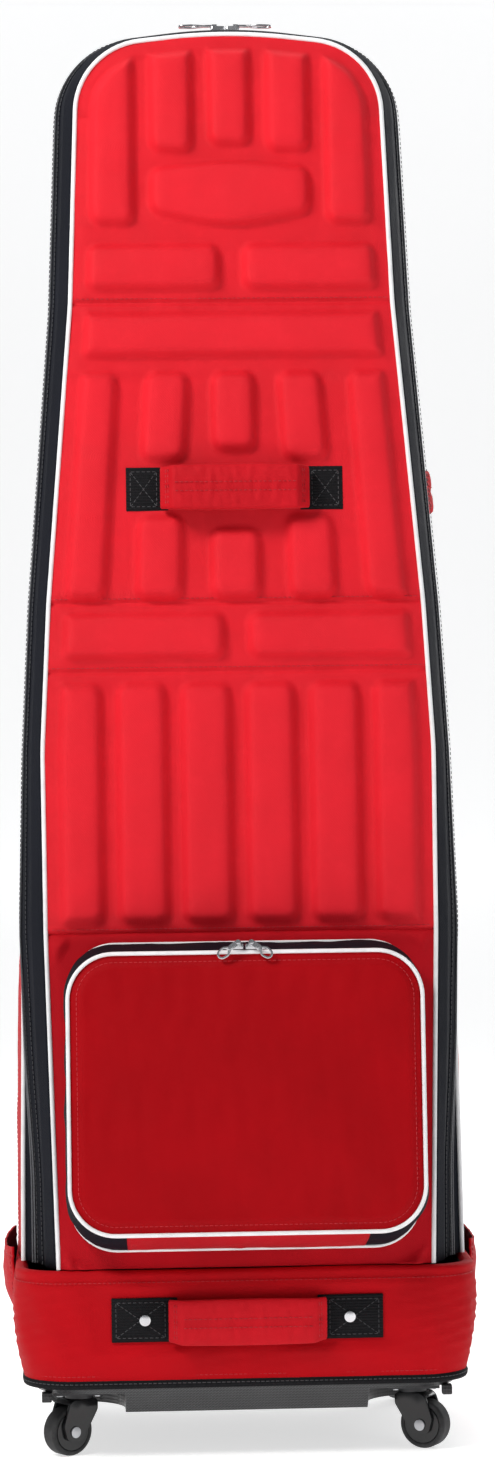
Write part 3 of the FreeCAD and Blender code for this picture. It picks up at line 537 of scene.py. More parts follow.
def webbing(name, colour, deep):
    """Ribbed strap: ribs across the strap, a finer twill along it."""
    f = Finish(name)
    point = f.object_point()
    solid = f.node("ShaderNodeSeparateXYZ")
    f.link(point, solid.inputs[0])
    flat = f.math("ADD", solid.outputs[0], f.math("MULTIPLY", solid.outputs[1], 1.0))
    ribs = f.math("SINE", f.math("MULTIPLY", solid.outputs[2], 2 * math.pi / 0.0026))
    floats = f.math("SINE", f.math("MULTIPLY", flat, 2 * math.pi / 0.0018))
    crossing = f.math("MULTIPLY", f.math("MULTIPLY", ribs, floats), 0.5)
    height = f.math("ADD", f.math("MULTIPLY", ribs, 0.6), crossing)
    fuzz = f.noise(point, 420.0, 3.0, 0.6)
    shade = f.spread(f.math("ADD", f.math("MULTIPLY", height, 0.25), fuzz), 0.2, 1.0)
    return f.done(f.mix(shade, deep, colour), f.bump(height, 0.8, 0.0005), 0.74, Specular_IOR_Level=0.12)


black_webbing = webbing("black_webbing", (0.015, 0.015, 0.017), (0.005, 0.005, 0.006))


def thread_finish(name, colour):
    """Twisted sewing thread."""
    f = Finish(name)
    point = f.object_point()
    twist = f.noise(point, 1600.0, 2.0, 0.5)
    tone = f.mix(f.spread(twist, 0.3, 0.7), tuple(channel * 0.7 for channel in colour), colour)
    return f.done(tone, f.bump(twist, 0.5, 0.0002), 0.55, Sheen_Weight=0.05)


red_thread = thread_finish("red_thread", (0.52, 0.006, 0.016))
grey_thread = thread_finish("grey_thread", (0.060, 0.060, 0.066))


def vinyl(name, colour, grime):
    """Soft coated piping: slight waves, a fine skin and dust in the low places."""
    f = Finish(name)
    point = f.object_point()
    dust = f.noise(point, 60.0, 5.0, 0.6)
    skin = f.noise(point, 700.0, 2.0, 0.5)
    tone = f.mix(f.spread(dust, 0.45, 0.8), colour, grime)
    return f.done(tone, f.bump(skin, 0.25, 0.0003), f.spread(dust, 0.3, 0.8, 0.30, 0.48),
                  Coat_Weight=0.15, Coat_Roughness=0.3)


white_piping = vinyl("white_piping", (0.86, 0.86, 0.87), (0.70, 0.70, 0.71))


def coil_plastic(name, colour):
    """Nylon zipper coil with a soft shine."""
    f = Finish(name)
    point = f.object_point()
    grain = f.noise(point, 300.0, 3.0, 0.6)
    tone = f.mix(f.spread(grain, 0.3, 0.75), tuple(channel * 0.6 for channel in colour), colour)
    return f.done(tone, f.bump(grain, 0.2, 0.0002), 0.34, Specular_IOR_Level=0.5)


coil_black = coil_plastic("coil_black", (0.085, 0.087, 0.098))


def plated(name, colour, rough):
    """Bright plated metal with light handling marks."""
    f = Finish(name)
    point = f.object_point()
    marks = f.noise(point, 240.0, 6.0, 0.7, 0.3)
    cloud = f.noise(point, 40.0, 3.0, 0.5)
    tone = f.mix(f.spread(cloud, 0.35, 0.7), tuple(channel * 0.82 for channel in colour), colour)
    roughness = f.spread(marks, 0.3, 0.7, rough, rough + 0.14)
    return f.done(tone, f.bump(marks, 0.12, 0.0002), roughness, Metallic=1.0)


bright_metal = plated("bright_metal", (0.66, 0.66, 0.68), 0.14)
zinc_metal = plated("zinc_metal", (0.50, 0.51, 0.53), 0.26)


def moulded(name, colour, rough, grain_scale, grain, scuff=0.06):
    """Moulded plastic: a fine grain, a slow change of shine and light scuffs."""
    f = Finish(name)
    point = f.object_point()
    skin = f.noise(point, grain_scale, 2.0, 0.6)
    cloud = f.noise(point, 18.0, 4.0, 0.6)
    rub = f.spread(f.noise(point, 90.0, 6.0, 0.75, 0.4), 0.56, 0.78)
    tone = f.mix(f.math("MULTIPLY", rub, 0.5), colour, tuple(channel + scuff for channel in colour))
    tone = f.mix(f.spread(cloud, 0.35, 0.7, 0.0, 0.35), tone, tuple(channel * 0.55 for channel in colour))
    return f.done(tone, f.bump(skin, grain, 0.0004), f.spread(cloud, 0.3, 0.75, rough, rough + 0.12),
                  Specular_IOR_Level=0.5)


gloss_black = moulded("gloss_black", (0.008, 0.008, 0.009), 0.16, 260.0, 0.05, 0.03)
buckle_black = moulded("buckle_black", (0.018, 0.018, 0.020), 0.30, 900.0, 0.25, 0.03)
satin_black = moulded("satin_black", (0.026, 0.026, 0.029), 0.42, 1100.0, 0.35, 0.04)
board_black = moulded("board_black", (0.040, 0.040, 0.042), 0.62, 700.0, 0.4, 0.04)


def rubber(name, colour):
    """Dull rubber with dust and a rough skin."""
    f = Finish(name)
    point = f.object_point()
    skin = f.noise(point, 800.0, 3.0, 0.7)
    dust = f.spread(f.noise(point, 70.0, 5.0, 0.65), 0.45, 0.75, 0.0, 0.6)
    tone = f.mix(dust, colour, tuple(channel + 0.055 for channel in colour))
    return f.done(tone, f.bump(skin, 0.4, 0.0003), 0.66)


tyre_rubber = rubber("tyre_rubber", (0.009, 0.009, 0.010))


TRAY_TWILL = 0.0060         # pitch of the twill pressed into the tray


def tray_finish(name):
    """Black moulding with a small raised twill pattern pressed into its sides."""
    f = Finish(name)
    point = f.object_point()
    split = f.node("ShaderNodeSeparateXYZ")
    f.link(point, split.inputs[0])
    run = f.math("ADD", split.outputs[0], split.outputs[1])
    turns = 2 * math.pi / TRAY_TWILL
    first = f.math("SINE", f.math("MULTIPLY", f.math("ADD", run, split.outputs[2]), turns))
    second = f.math("SINE", f.math("MULTIPLY", f.math("SUBTRACT", run, split.outputs[2]), turns))
    twill = f.math("MULTIPLY", first, second)
    tile = f.spread(twill, -0.25, 0.25)
    skin = f.noise(point, 900.0, 2.0, 0.6)
    dust = f.spread(f.noise(point, 26.0, 5.0, 0.65), 0.4, 0.8, 0.0, 0.25)
    tone = f.mix(tile, (0.007, 0.007, 0.008), (0.018, 0.018, 0.020))
    tone = f.mix(dust, tone, (0.060, 0.060, 0.062))
    normal = f.bump(skin, 0.25, 0.0003, f.bump(tile, 0.6, 0.0008))
    return f.done(tone, normal, f.spread(tile, 0.0, 1.0, 0.40, 0.30), Specular_IOR_Level=0.5)


tray_black = tray_finish("tray_black")
foam_grey = woven("foam_grey", (0.085, 0.086, 0.092), (0.055, 0.055, 0.060), 0.0020, 0.5,
                  sheen=0.05, rough=0.75, mapped=False)


# ---------------------------------------------------------------- stitches and zipper teeth
QUARTER_TURN = math.pi / 2


def small_bar(radius, length, rounding, rotation):
    """A rounded bar, to be repeated along a seam or a zipper."""
    bpy.ops.object.select_all(action="DESELECT")
    bpy.ops.mesh.primitive_cylinder_add(vertices=6, radius=radius, depth=length, rotation=rotation)
    unit = bpy.context.object
    only(unit)
    bpy.ops.object.transform_apply()
    unit.modifiers.new("ends", "BEVEL").width = rounding
    apply_all(unit)
    return unit


STITCH = small_bar(0.00042, 0.0030, 0.0003, (0, QUARTER_TURN, 0))
TOOTH = small_bar(0.00085, 0.0036, 0.0005, (QUARTER_TURN, 0, 0))
TOOTH_SMALL = small_bar(0.0007, 0.0027, 0.0005, (QUARTER_TURN, 0, 0))
STITCH_PITCH = 0.0044
TOOTH_PITCH = 0.0026
TOOTH_SMALL_PITCH = 0.0023


def sew(name, lines, body, slot, finish):
    """Rows of stitches; each line is (points, outward)."""
    frames = []
    for points, outward in lines:
        frames += along_path(points, outward, STITCH_PITCH)
    piece = repeated(name, STITCH, frames)
    dress(piece, finish)
    return seat(piece, body, slot)


# ---------------------------------------------------------------- edge lines of the zipped opening
def edge_line(depth, share_low, share_high, inset=0.0, stand=0.0):
    """A line round the case at one depth; near the foot the band turns to face forward.
    Above the side pockets it may stand further out at the sides."""
    foot = foot_height(depth)
    inner = outline(0.0, depth, inset, foot)
    outer = outline(1.0, depth, inset, foot)
    share = share_low + (share_high - share_low) * ramp(0.24, 0.43, inner[:, 1])
    flat = inner + (outer - inner) * share[:, None]
    flat[:, 0] += np.sign(flat[:, 0]) * stand * ramp(0.40, 0.50, flat[:, 1]) * ramp(1.285, 1.22, flat[:, 1])
    return leaned(flat[:, 0], np.full(len(flat), depth), flat[:, 1])


def edge_band(lines, per_gap=3):
    """Rows of points between successive edge lines."""
    rows = []
    for first, second in zip(lines, lines[1:]):
        rows += [first + (second - first) * step / per_gap for step in range(per_gap)]
    return np.array(rows + [lines[-1]])


def band_normals(points):
    """Outward direction at each point of a line that goes round the case."""
    ahead = np.gradient(points, axis=0)
    side = np.cross(ahead, INWARD)
    side /= np.linalg.norm(side, axis=1)[:, None]
    away = points - np.array((0, MIDDLE_Y, 0.7))
    flip = np.sign(np.sum(side * away, axis=1))
    return side * flip[:, None]


# ---------------------------------------------------------------- moulded front panel
PAD_RISE = 0.0086
PAD_CROWN = 0.0010
PAD_SHOULDER = 0.0085       # width of the slope up to a pad's flat top
PAD_EDGE_ROOM = 0.012       # the pads stop this far from the panel's edge
# (near and far edge at the foot, the same at the head, low, high), once on each side
SIDE_PADS = [
    ((0.086, 0.131), (0.086, 0.129), 1.121, 1.300),
    ((0.032, 0.075), (0.032, 0.075), 1.188, 1.291),
    ((0.0085, 0.136), (0.0085, 0.134), 1.060, 1.105),
    ((0.117, 0.160), (0.103, 0.145), 0.776, 0.987),
    ((0.043, 0.088), (0.038, 0.082), 0.902, 0.987),
    ((0.0465, 0.094), (0.045, 0.091), 0.776, 0.855),
    ((0.009, 0.164), (0.0085, 0.163), 0.721, 0.766),
]
# (half width, low, high)
CENTRE_PADS = [(0.021, 1.194, 1.294), (0.143, 0.998, 1.042), (0.022, 0.911, 0.987), (0.025, 0.776, 0.842)]
CHANNEL_PITCH = 0.0585
CHANNEL_WIDTH = 0.049
CHANNEL_LOW = 0.481
CHANNEL_HIGH = 0.702
SHIELD = [(0.0, 1.116), (0.0755, 1.131), (0.0755, 1.176), (0.026, 1.184), (-0.026, 1.184),
          (-0.0755, 1.176), (-0.0755, 1.131)]


def pad_outlines():
    pads = []
    for foot, head, low, high in SIDE_PADS:
        pads.append([(foot[0], low), (foot[1], low), (head[1], high), (head[0], high)])
        pads.append([(-foot[1], low), (-foot[0], low), (-head[0], high), (-head[1], high)])
    for half, low, high in CENTRE_PADS:
        pads.append([(-half, low), (half, low), (half, high), (-half, high)])
    for number in range(6):
        left = (number - 2.5) * CHANNEL_PITCH - CHANNEL_WIDTH / 2
        pads.append([(left, CHANNEL_LOW), (left + CHANNEL_WIDTH, CHANNEL_LOW),
                     (left + CHANNEL_WIDTH, CHANNEL_HIGH), (left, CHANNEL_HIGH)])
    pads.append(SHIELD)
    return pads


def depth_inside(x, z, corners, rounding=0.013):
    """Distance inside a convex outline with rounded corners, negative outside."""
    total = np.zeros(x.shape)
    nearest = np.full(x.shape, -1.0)
    for index, start in enumerate(corners):
        end = corners[(index + 1) % len(corners)]
        run, climb = end[0] - start[0], end[1] - start[1]
        length = math.hypot(run, climb)
        outside = ((x - start[0]) * climb - (z - start[1]) * run) / length + rounding
        total += np.maximum(outside, 0) ** 2
        nearest = np.maximum(nearest, outside)
    return rounding - np.sqrt(total) - np.minimum(nearest, 0)


def pad_relief(x, z, edge_room):
    """How far the moulded pads stand out of the panel."""
    rise = np.zeros(x.shape)
    for corners in pad_outlines():
        inside = np.minimum(depth_inside(x, z, corners), edge_room - PAD_EDGE_ROOM)
        height = PAD_RISE * ramp(-0.0015, PAD_SHOULDER, inside) + PAD_CROWN * ramp(0.005, 0.016, inside)
        rise = np.maximum(rise, height)
    return rise


def seam_groove(z, heights, width=0.0024, depth=0.0022):
    groove = np.zeros(z.shape)
    for height in heights:
        groove = np.maximum(groove, depth * np.exp(-((z - height) / width) ** 2))
    return groove


def spaced(low, high, step, marks=(), fine=0.0009, reach=0.004):
    """Even heights with closer ones about the seams."""
    heights = list(np.linspace(low, high, int((high - low) / step) + 1))
    for mark in marks:
        heights = [height for height in heights if abs(height - mark) > reach]
        heights += list(np.linspace(mark - reach, mark + reach, int(2 * reach / fine) + 1))
    return np.array(sorted(height for height in heights if low <= height <= high))


def close_back(piece, way, thickness, lining):
    """Turn a sheet into a closed slab: its edge goes straight in and a flat back closes it."""
    only(piece)
    bpy.ops.object.mode_set(mode="EDIT")
    bpy.ops.mesh.select_mode(type="EDGE")
    bpy.ops.mesh.select_all(action="DESELECT")
    bpy.ops.mesh.select_non_manifold()
    bpy.ops.mesh.extrude_region_move(TRANSFORM_OT_translate={"value": tuple(way * thickness)})
    bpy.ops.mesh.edge_face_add()
    bpy.ops.object.mode_set(mode="OBJECT")
    back_index = max(piece.data.polygons, key=lambda face: len(face.vertices)).index
    face_outward(piece)
    piece.data.materials.append(lining)
    piece.data.polygons[back_index].material_index = 1
    piece.data.polygons[back_index].use_smooth = False


PANEL_TUCK = 0.0030         # the panel's edge runs this far inside the piping's outer edge


def make_front_panel():
    edge = outline(0.0, 0.0, PANEL_TUCK)
    low, high = PANEL_LOW, 1.222
    heights = spaced(low, high, 0.0027, SEAMS)
    columns = 130
    across = np.linspace(-1, 1, columns + 1)
    side = edge[: len(edge) // 2]
    half = np.interp(heights, side[:, 1], side[:, 0])
    x = half[:, None] * across[None, :]
    z = np.repeat(heights[:, None], columns + 1, axis=1)
    over = edge[edge[:, 1] > high]
    over = np.vstack([[half[-1], high], over[over[:, 0] > -2], [-half[-1], high]])
    lengths = np.concatenate([[0], np.cumsum(np.linalg.norm(np.diff(over, axis=0), axis=1))])
    lengths = 1 - 2 * lengths / lengths[-1]
    arch_x = np.interp(-across, -lengths, over[:, 0])
    arch_z = np.interp(-across, -lengths, over[:, 1])
    climbs = np.linspace(0, 1, 34)[1:]
    fan_x = x[-1] + (arch_x - x[-1]) * climbs[:, None]
    fan_z = z[-1] + (arch_z - z[-1]) * climbs[:, None]
    x, z = np.vstack([x, fan_x]), np.vstack([z, fan_z])
    room = np.full(x.shape, 1.0)
    for first, second in zip(edge[:-1], edge[1:]):
        way = second - first
        share = np.clip(((x - first[0]) * way[0] + (z - first[1]) * way[1]) / max(way @ way, 1e-12), 0, 1)
        room = np.minimum(room, np.hypot(x - first[0] - share * way[0], z - first[1] - share * way[1]))
    rise = pad_relief(x, z, room)
    # Pad height share; the panel's finish paints raised pads lighter with it, a painted highlight with
    # painted shade in the channels.
    pad_highlight = rise / (PAD_RISE + PAD_CROWN)
    billow = 0.0014 * ramp(0.0, 0.012, room) + 0.0006 * ripple(x, z, 0.12, 5)
    puckers = 0.00035 * ripple(x * 3.2, z * 0.4, 0.03, 8) * np.exp(-(np.min(
        [np.abs(z - seam) for seam in SEAMS + (PANEL_LOW,)], axis=0) / 0.012) ** 2)
    out = rise + billow + puckers - seam_groove(z, SEAMS + (PANEL_LOW,))
    points = leaned(x, -out, z)
    piece = cloth_piece("front_shell", points[:, ::-1], pad_highlight=pad_highlight[:, ::-1])
    dress(piece, panel_red)
    merge_points(piece, 1e-5)
    face_away(piece, CASE_CENTRE)
    smooth(piece)
    close_back(piece, INWARD, PADDING, lining_grey)
    seat(piece, "lid", "panel_fabric", "front_panel")

    rows = []
    for seam in SEAMS + (PANEL_LOW,):
        width = half_width(seam, 0.0) - 0.007
        line_x = np.linspace(-width, width, 80)
        line_z = np.full(80, seam + 0.0038)
        rows.append((leaned(line_x, np.full(80, -0.0016), line_z), -INWARD))
    sew("panel_stitches", rows, "lid", "panel_fabric", red_thread)


POCKET_LOW = 0.205
POCKET_HIGH = 0.456
POCKET_HALF = 0.159
POCKET_CORNER = 0.042


def pocket_room(x, z, grow=0.006):
    """Distance outside the pocket's base."""
    away_x = np.abs(x) - (POCKET_HALF + grow - POCKET_CORNER)
    low, high = POCKET_LOW - 0.019, POCKET_HIGH + 0.006
    away_z = np.abs(z - (low + high) / 2) - ((high - low) / 2 + grow - POCKET_CORNER)
    return np.hypot(np.maximum(away_x, 0), np.maximum(away_z, 0)) + np.minimum(
        np.maximum(away_x, away_z), 0) - POCKET_CORNER


def make_lower_panel():
    foot = foot_height(0.0)
    edge = outline(0.0, 0.0, PANEL_TUCK, foot)
    side = edge[: len(edge) // 2]
    heights = np.concatenate([np.linspace(foot, 0.20, 16), np.linspace(0.20, PANEL_LOW, 92)[1:]])
    columns = 130
    across = np.linspace(-1, 1, columns + 1)
    half = np.interp(heights, side[:, 1], side[:, 0])
    half[0] = side[0, 0]
    x = half[:, None] * across[None, :]
    z = np.repeat(heights[:, None], columns + 1, axis=1)
    room = half[:, None] - np.abs(x)
    clear = ramp(0.004, 0.018, pocket_room(x, z))
    folds = 0.0046 * ripple(x * 1.5, z * 0.75, 0.055, 21) + 0.0036 * ripple(x * 3.0, z * 0.8, 0.05, 22, 2)
    sags = 0.0042 * ripple(x * 0.6, z * 2.2, 0.07, 23) * ramp(0.25, 0.19, z)
    hold = ramp(0.0, 0.012, room) * ramp(PANEL_LOW, PANEL_LOW - 0.014, z)
    out = 0.0016 * ramp(0.0, 0.012, room) + clear * hold * (folds + sags + 0.0042)
    deepest = -0.0028
    out = np.maximum(out - seam_groove(z, (PANEL_LOW,)), deepest)
    piece = cloth_piece("lower_front", leaned(x, -out, z)[:, ::-1])
    dress(piece, lower_red)
    face_away(piece, CASE_CENTRE)
    smooth(piece)
    close_back(piece, INWARD, PADDING, lining_grey)
    seat(piece, "lid", "panel_fabric", "lower_panel")


def make_front_piping():
    line = edge_line(0.00020, 0.0, 0.0, 0.00225)
    piece = tube("front_piping_cord", line, 0.0021, sides=3)
    dress(piece, white_piping)
    seat(piece, "lid", "white_piping", "front_piping")


# ---------------------------------------------------------------- zipped side band
BAND_STAND = 0.0024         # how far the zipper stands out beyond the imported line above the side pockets
# lines round the opening: (depth, share of the flare at the foot, share higher up, inset, stand)
WELT = (0.0022, 0.02, 0.02)
CREST = (0.018, 0.26, 0.42, -0.0016, 0.0012)
BAND_SEAM = (0.0345, 0.40, 0.70, 0.0, 0.0030)
TAPE_START = (0.0338, 0.385, 0.68, -0.0010, 0.0030)
TAPE_END = (0.0466, 0.60, 0.965, 0.0, BAND_STAND)
LID_COIL_LINE = (0.0482, 0.635, 0.995, -0.0004, BAND_STAND)
REAR_COIL_LINE = (0.0524, 0.715, 1.0, -0.0004, BAND_STAND)
REAR_TAPE = [
    (0.0540, 0.745, 0.99, 0.0, BAND_STAND),
    (0.0590, 0.86, 0.995, 0.0, 0.0022),
    (0.0650, 0.985, 0.97),
]
REAR_PIPING_LINE = (0.0646, 1.02, 0.97, -0.0006)
BAND_STITCHES = [(0.0322, 0.375, 0.655, -0.0016, 0.0026), (0.0420, 0.53, 0.88, -0.0016, 0.0042)]


def make_side_band():
    lines = [edge_line(*line) for line in (WELT, CREST, BAND_SEAM)]
    piece = cloth_piece("lid_side_band", edge_band(lines, 5))
    dress(piece, gusset_navy, lining_grey)
    finish_sheet(piece, CASE_CENTRE, 0.0022, "lid", "dark_tape", "lid_gusset")

    tape = cloth_piece("lid_zip_tape", edge_band([edge_line(*line) for line in (TAPE_START, TAPE_END)], 4))
    dress(tape, tape_navy, lining_grey)
    finish_sheet(tape, CASE_CENTRE, 0.0012, "lid", "dark_tape")

    for name, place, body, node in (("lid_coil", LID_COIL_LINE, "lid", "lid_zip_coil"),
                                    ("rear_coil", REAR_COIL_LINE, "case", "rear_zip_coil")):
        line = edge_line(*place)
        teeth = repeated(name, TOOTH, along_path(line, band_normals(line), TOOTH_PITCH))
        dress(teeth, coil_black)
        seat(teeth, body, "zip_coil", node)
        core = tube(name + "_cord", line, 0.0011, sides=2)
        dress(core, coil_black)
        seat(core, body, "zip_coil")

    tape = cloth_piece("rear_tape", edge_band([edge_line(*line) for line in REAR_TAPE], 3))
    dress(tape, tape_navy, lining_grey)
    finish_sheet(tape, CASE_CENTRE, 0.0014, "case", "dark_tape", "rear_zip_tape")
    piping = tube("rear_piping_cord", edge_line(*REAR_PIPING_LINE), 0.0022, sides=3)
    dress(piping, white_piping)
    seat(piping, "case", "white_piping", "rear_piping")

    lines = [edge_line(*line) for line in BAND_STITCHES]
    sew("band_stitches", [(line, band_normals(line)) for line in lines], "lid", "dark_tape", grey_thread)


# ---------------------------------------------------------------- rear shell
SHELL_CORNER = 0.042
SIDE_TAPER = 0.009          # the soft sides draw in this much towards the back
SIDE_POCKET_TOP = 0.470
STITCHED_ROW = 5            # the row of the shell, counted from its front edge, that carries stitches
BACK_SEAMS = (0.50, 0.86)


def shell_line(start, inset=0.0):
    """The shell's outline seen from the front, as upright points (x, y where it starts, z)."""
    foot = foot_height(start)
    flat = outline(1.0, start, inset, foot)
    return leaned(flat[:, 0], np.full(len(flat), start), flat[:, 1])


def side_bulge(z, y, share):
    """The side pockets' soft swell on the lower half of the shell."""
    tall = ramp(SIDE_POCKET_TOP, SIDE_POCKET_TOP - 0.030, z) * (0.55 + 0.45 * ramp(0.47, 0.30, z))
    return 0.0046 * tall * ramp(0.0, 0.16, share) * ramp(BACK - 0.035, BACK - 0.075, y)


def make_rear_shell():
    start = shell_line(SHELL_START)
    tucked = shell_line(SHELL_START, SHELL_CORNER)
    inward = (tucked - start)
    inward[:, 1] = 0
    inward /= np.linalg.norm(inward, axis=1)[:, None]
    rows = []
    path = np.concatenate([[0], np.cumsum(np.linalg.norm(np.diff(start, axis=0), axis=1))])
    flat_steps, arc_steps = 26, 9
    for step in range(flat_steps + 1):
        share = step / flat_steps
        row = start.copy()
        row[:, 1] = start[:, 1] + (BACK - SHELL_CORNER - start[:, 1]) * share
        side = np.minimum(1, np.abs(row[:, 0]) / 0.12)
        puff = 0.0026 * math.sin(math.pi * min(1, share * 1.02)) ** 0.6
        puff = puff + side * side_bulge(row[:, 2], row[:, 1], share)
        taper = SIDE_TAPER * ramp(0.46, 0.50, row[:, 2]) * ramp(0.0, 0.75, share) * side
        wave = 0.0011 * ripple(path, row[:, 1], 0.11, 31) * math.sin(math.pi * share) ** 0.5
        seam = 0.0030 * np.exp(-((row[:, 2] - SIDE_POCKET_TOP) / 0.0026) ** 2)
        seam = seam * ramp(0.02, 0.06, share) * side
        rows.append(row - inward * (puff + wave - seam - taper)[:, None])
    side = np.minimum(1, np.abs(start[:, 0]) / 0.12) * ramp(0.46, 0.50, start[:, 2])
    for step in range(1, arc_steps + 1):
        angle = math.pi / 2 * step / arc_steps
        row = start.copy()
        row[:, 1] = BACK - SHELL_CORNER + SHELL_CORNER * math.sin(angle)
        rows.append(row + inward * (SHELL_CORNER * (1 - math.cos(angle)) + SIDE_TAPER * side)[:, None])
    piece = cloth_piece("body_shell", np.array(rows))
    dress(piece, shell_red, lining_grey)
    finish_sheet(piece, CASE_CENTRE, PADDING, "case", "shell_fabric", "rear_shell")

    half = len(start) // 2
    stitched = rows[STITCHED_ROW]
    lines = [(stitched[:half], (1, 0, 0)), (stitched[-half:], (-1, 0, 0))]
    for sign in (1, -1):
        depths = np.linspace(MIDDLE_Y - 0.085, BACK - 0.055, 40)
        wide = half_width(SIDE_POCKET_TOP, 1.0)
        points = np.array([(sign * (wide + 0.0020), y, SIDE_POCKET_TOP + 0.0055) for y in depths])
        lines.append((points, (sign, 0, 0)))
    sew("shell_stitches", lines, "case", "shell_fabric", red_thread)
    return rows[-1]


def make_back(rim):
    """The flat padded back: a quilted sheet that fills the rounded rim."""
    half = len(rim) // 2
    right, left = rim[:half], rim[::-1][:half]
    columns = 90
    across = np.linspace(0, 1, columns + 1)
    points = right[:, None, :] + (left - right)[:, None, :] * across[None, :, None]
    room = np.minimum.reduce([
        np.linalg.norm(points - right[:, None, :], axis=2),
        np.linalg.norm(points - left[:, None, :], axis=2),
        np.abs(points[..., 2] - rim[:, 2].max()),
    ])
    x, z = points[..., 0], points[..., 2]
    puff = 0.0016 * ramp(0, 0.03, room) + 0.0010 * ripple(x, z, 0.16, 41)
    groove = seam_groove(z, BACK_SEAMS, 0.0028, 0.0030) * ramp(0, 0.01, room)
    frame_line = 0.0022 * np.exp(-((room - 0.016) / 0.0022) ** 2)
    points[..., 1] = BACK + puff - np.maximum(groove, frame_line) - 0.0012
    points[..., 1] = np.where(room < 1e-6, BACK, points[..., 1])
    piece = cloth_piece("back_shell", points)
    dress(piece, shell_red)
    merge_points(piece, 1e-5)
    face_away(piece, CASE_CENTRE)
    smooth(piece)
    close_back(piece, FORWARD, PADDING, lining_grey)
    seat(piece, "case", "shell_fabric")
    lines = []
    for height in BACK_SEAMS:
        width = float(np.interp(height, right[:, 2], np.abs(right[:, 0]))) - 0.012
        across_x = np.linspace(-width, width, 60)
        lines.append((np.c_[across_x, np.full(60, BACK + 0.0008), np.full(60, height + 0.0045)], (0, 1, 0)))
    sew("back_stitches", lines, "case", "shell_fabric", red_thread)


# ---------------------------------------------------------------- boot
BOOT_WALL = 0.012
BOOT_CORNER = 0.045
BOOT_HALF_TOP = BOOT_HIGH.x
BOOT_HALF_LOW = BOOT_HALF_TOP - 0.009
BOOT_DEPTH_TOP = (BOOT_HIGH.y - BOOT_LOW.y) / 2
BOOT_DEPTH_LOW = BOOT_DEPTH_TOP - 0.006


def boot_ring(height, inset):
    share = (height - BOOT_BOTTOM) / (BOOT_TOP - BOOT_BOTTOM)
    half_x = BOOT_HALF_LOW + (BOOT_HALF_TOP - BOOT_HALF_LOW) * share - inset
    half_y = BOOT_DEPTH_LOW + (BOOT_DEPTH_TOP - BOOT_DEPTH_LOW) * share - inset
    loop = level_loop(half_x, half_y, BOOT_CORNER - inset)
    return np.c_[loop, np.full(len(loop), height)]


def boot_out(loop):
    """Outward direction of each point of a level ring."""
    ahead = np.roll(loop[:-1], -1, axis=0) - np.roll(loop[:-1], 1, axis=0)
    out = np.c_[-ahead[:, 1], ahead[:, 0], np.zeros(len(ahead))]
    out /= np.linalg.norm(out, axis=1)[:, None]
    if np.sum(out * (loop[:-1] - loop[:-1].mean(axis=0))) < 0:
        out = -out
    return np.vstack([out, out[:1]])


BOOT_HEM = BOOT_TOP - 0.011


def make_boot():
    profile = [(0.0, BOOT_BOTTOM)]
    profile += [(0.0, height) for height in np.linspace(BOOT_BOTTOM + 0.004, BOOT_TOP - 0.006, 24)]
    for step in range(1, 6):
        angle = math.pi / 2 * step / 5
        profile.append((0.005 * (1 - math.cos(angle)), BOOT_TOP - 0.0055 + 0.005 * math.sin(angle)))
    profile += [(0.0085, BOOT_TOP - 0.0008), (BOOT_WALL, BOOT_TOP - 0.004), (BOOT_WALL, BOOT_BOTTOM + 0.006)]
    rows = []
    first = boot_ring(BOOT_BOTTOM, 0.0)
    path = np.concatenate([[0], np.cumsum(np.linalg.norm(np.diff(first, axis=0), axis=1))])
    turn = 2 * math.pi * path / path[-1]
    for inset, height in profile:
        ring = boot_ring(height, inset)
        out = boot_out(ring)
        if inset < 0.006:
            share = (height - BOOT_BOTTOM) / (BOOT_TOP - BOOT_BOTTOM)
            puff = 0.0042 * math.sin(math.pi * min(max(share * 1.08, 0), 1)) ** 0.7
            groove = 0.0018 * math.exp(-((height - BOOT_HEM) / 0.0018) ** 2)
            wave = (0.0012 * np.sin(9 * turn + 1.3) + 0.0008 * np.sin(23 * turn + 60 * share)
                    + 0.0006 * np.sin(41 * turn - 5 * share)) * math.sin(math.pi * share)
            held = ramp(0.150, 0.128, np.abs(ring[:, 0])) * (ring[:, 1] < MIDDLE_Y)
            held = held * ramp(0.098, 0.106, height) * ramp(0.160, 0.151, height)
            ring = ring + out * ((puff + wave) * (1 - held) - groove)[:, None]
            ring[:, 2] += 0.0006 * np.sin(5 * turn + 0.6) * share
        rows.append(ring)
    piece = cloth_piece("boot_shell", np.array(rows), loop=True)
    dress(piece, boot_red, lining_grey)
    face_outward(piece)
    face_away_side(piece)
    smooth(piece)
    for face in piece.data.polygons:
        reach = Vector((face.center.x, face.center.y - MIDDLE_Y, 0))
        if face.center.z < BOOT_TOP - 0.003 and reach.dot(face.normal) < 0:
            face.material_index = 1
    seat(piece, "case", "shell_fabric", "boot")

    lines = []
    for height in (BOOT_HEM, BOOT_BOTTOM + 0.0075):
        ring = boot_ring(height, -0.0012)
        lines.append((ring, boot_out(ring)))
    sew("boot_stitches", lines, "case", "shell_fabric", red_thread)


def face_away_side(piece):
    """Make the outer wall of a ring look outwards."""
    total = 0.0
    for face in piece.data.polygons:
        reach = Vector((face.center.x, face.center.y - MIDDLE_Y, 0))
        if abs(face.center.x) > BOOT_HALF_LOW - 0.004:
            total += reach.dot(face.normal) * face.area
    if total < 0:
        piece.data.flip_normals()


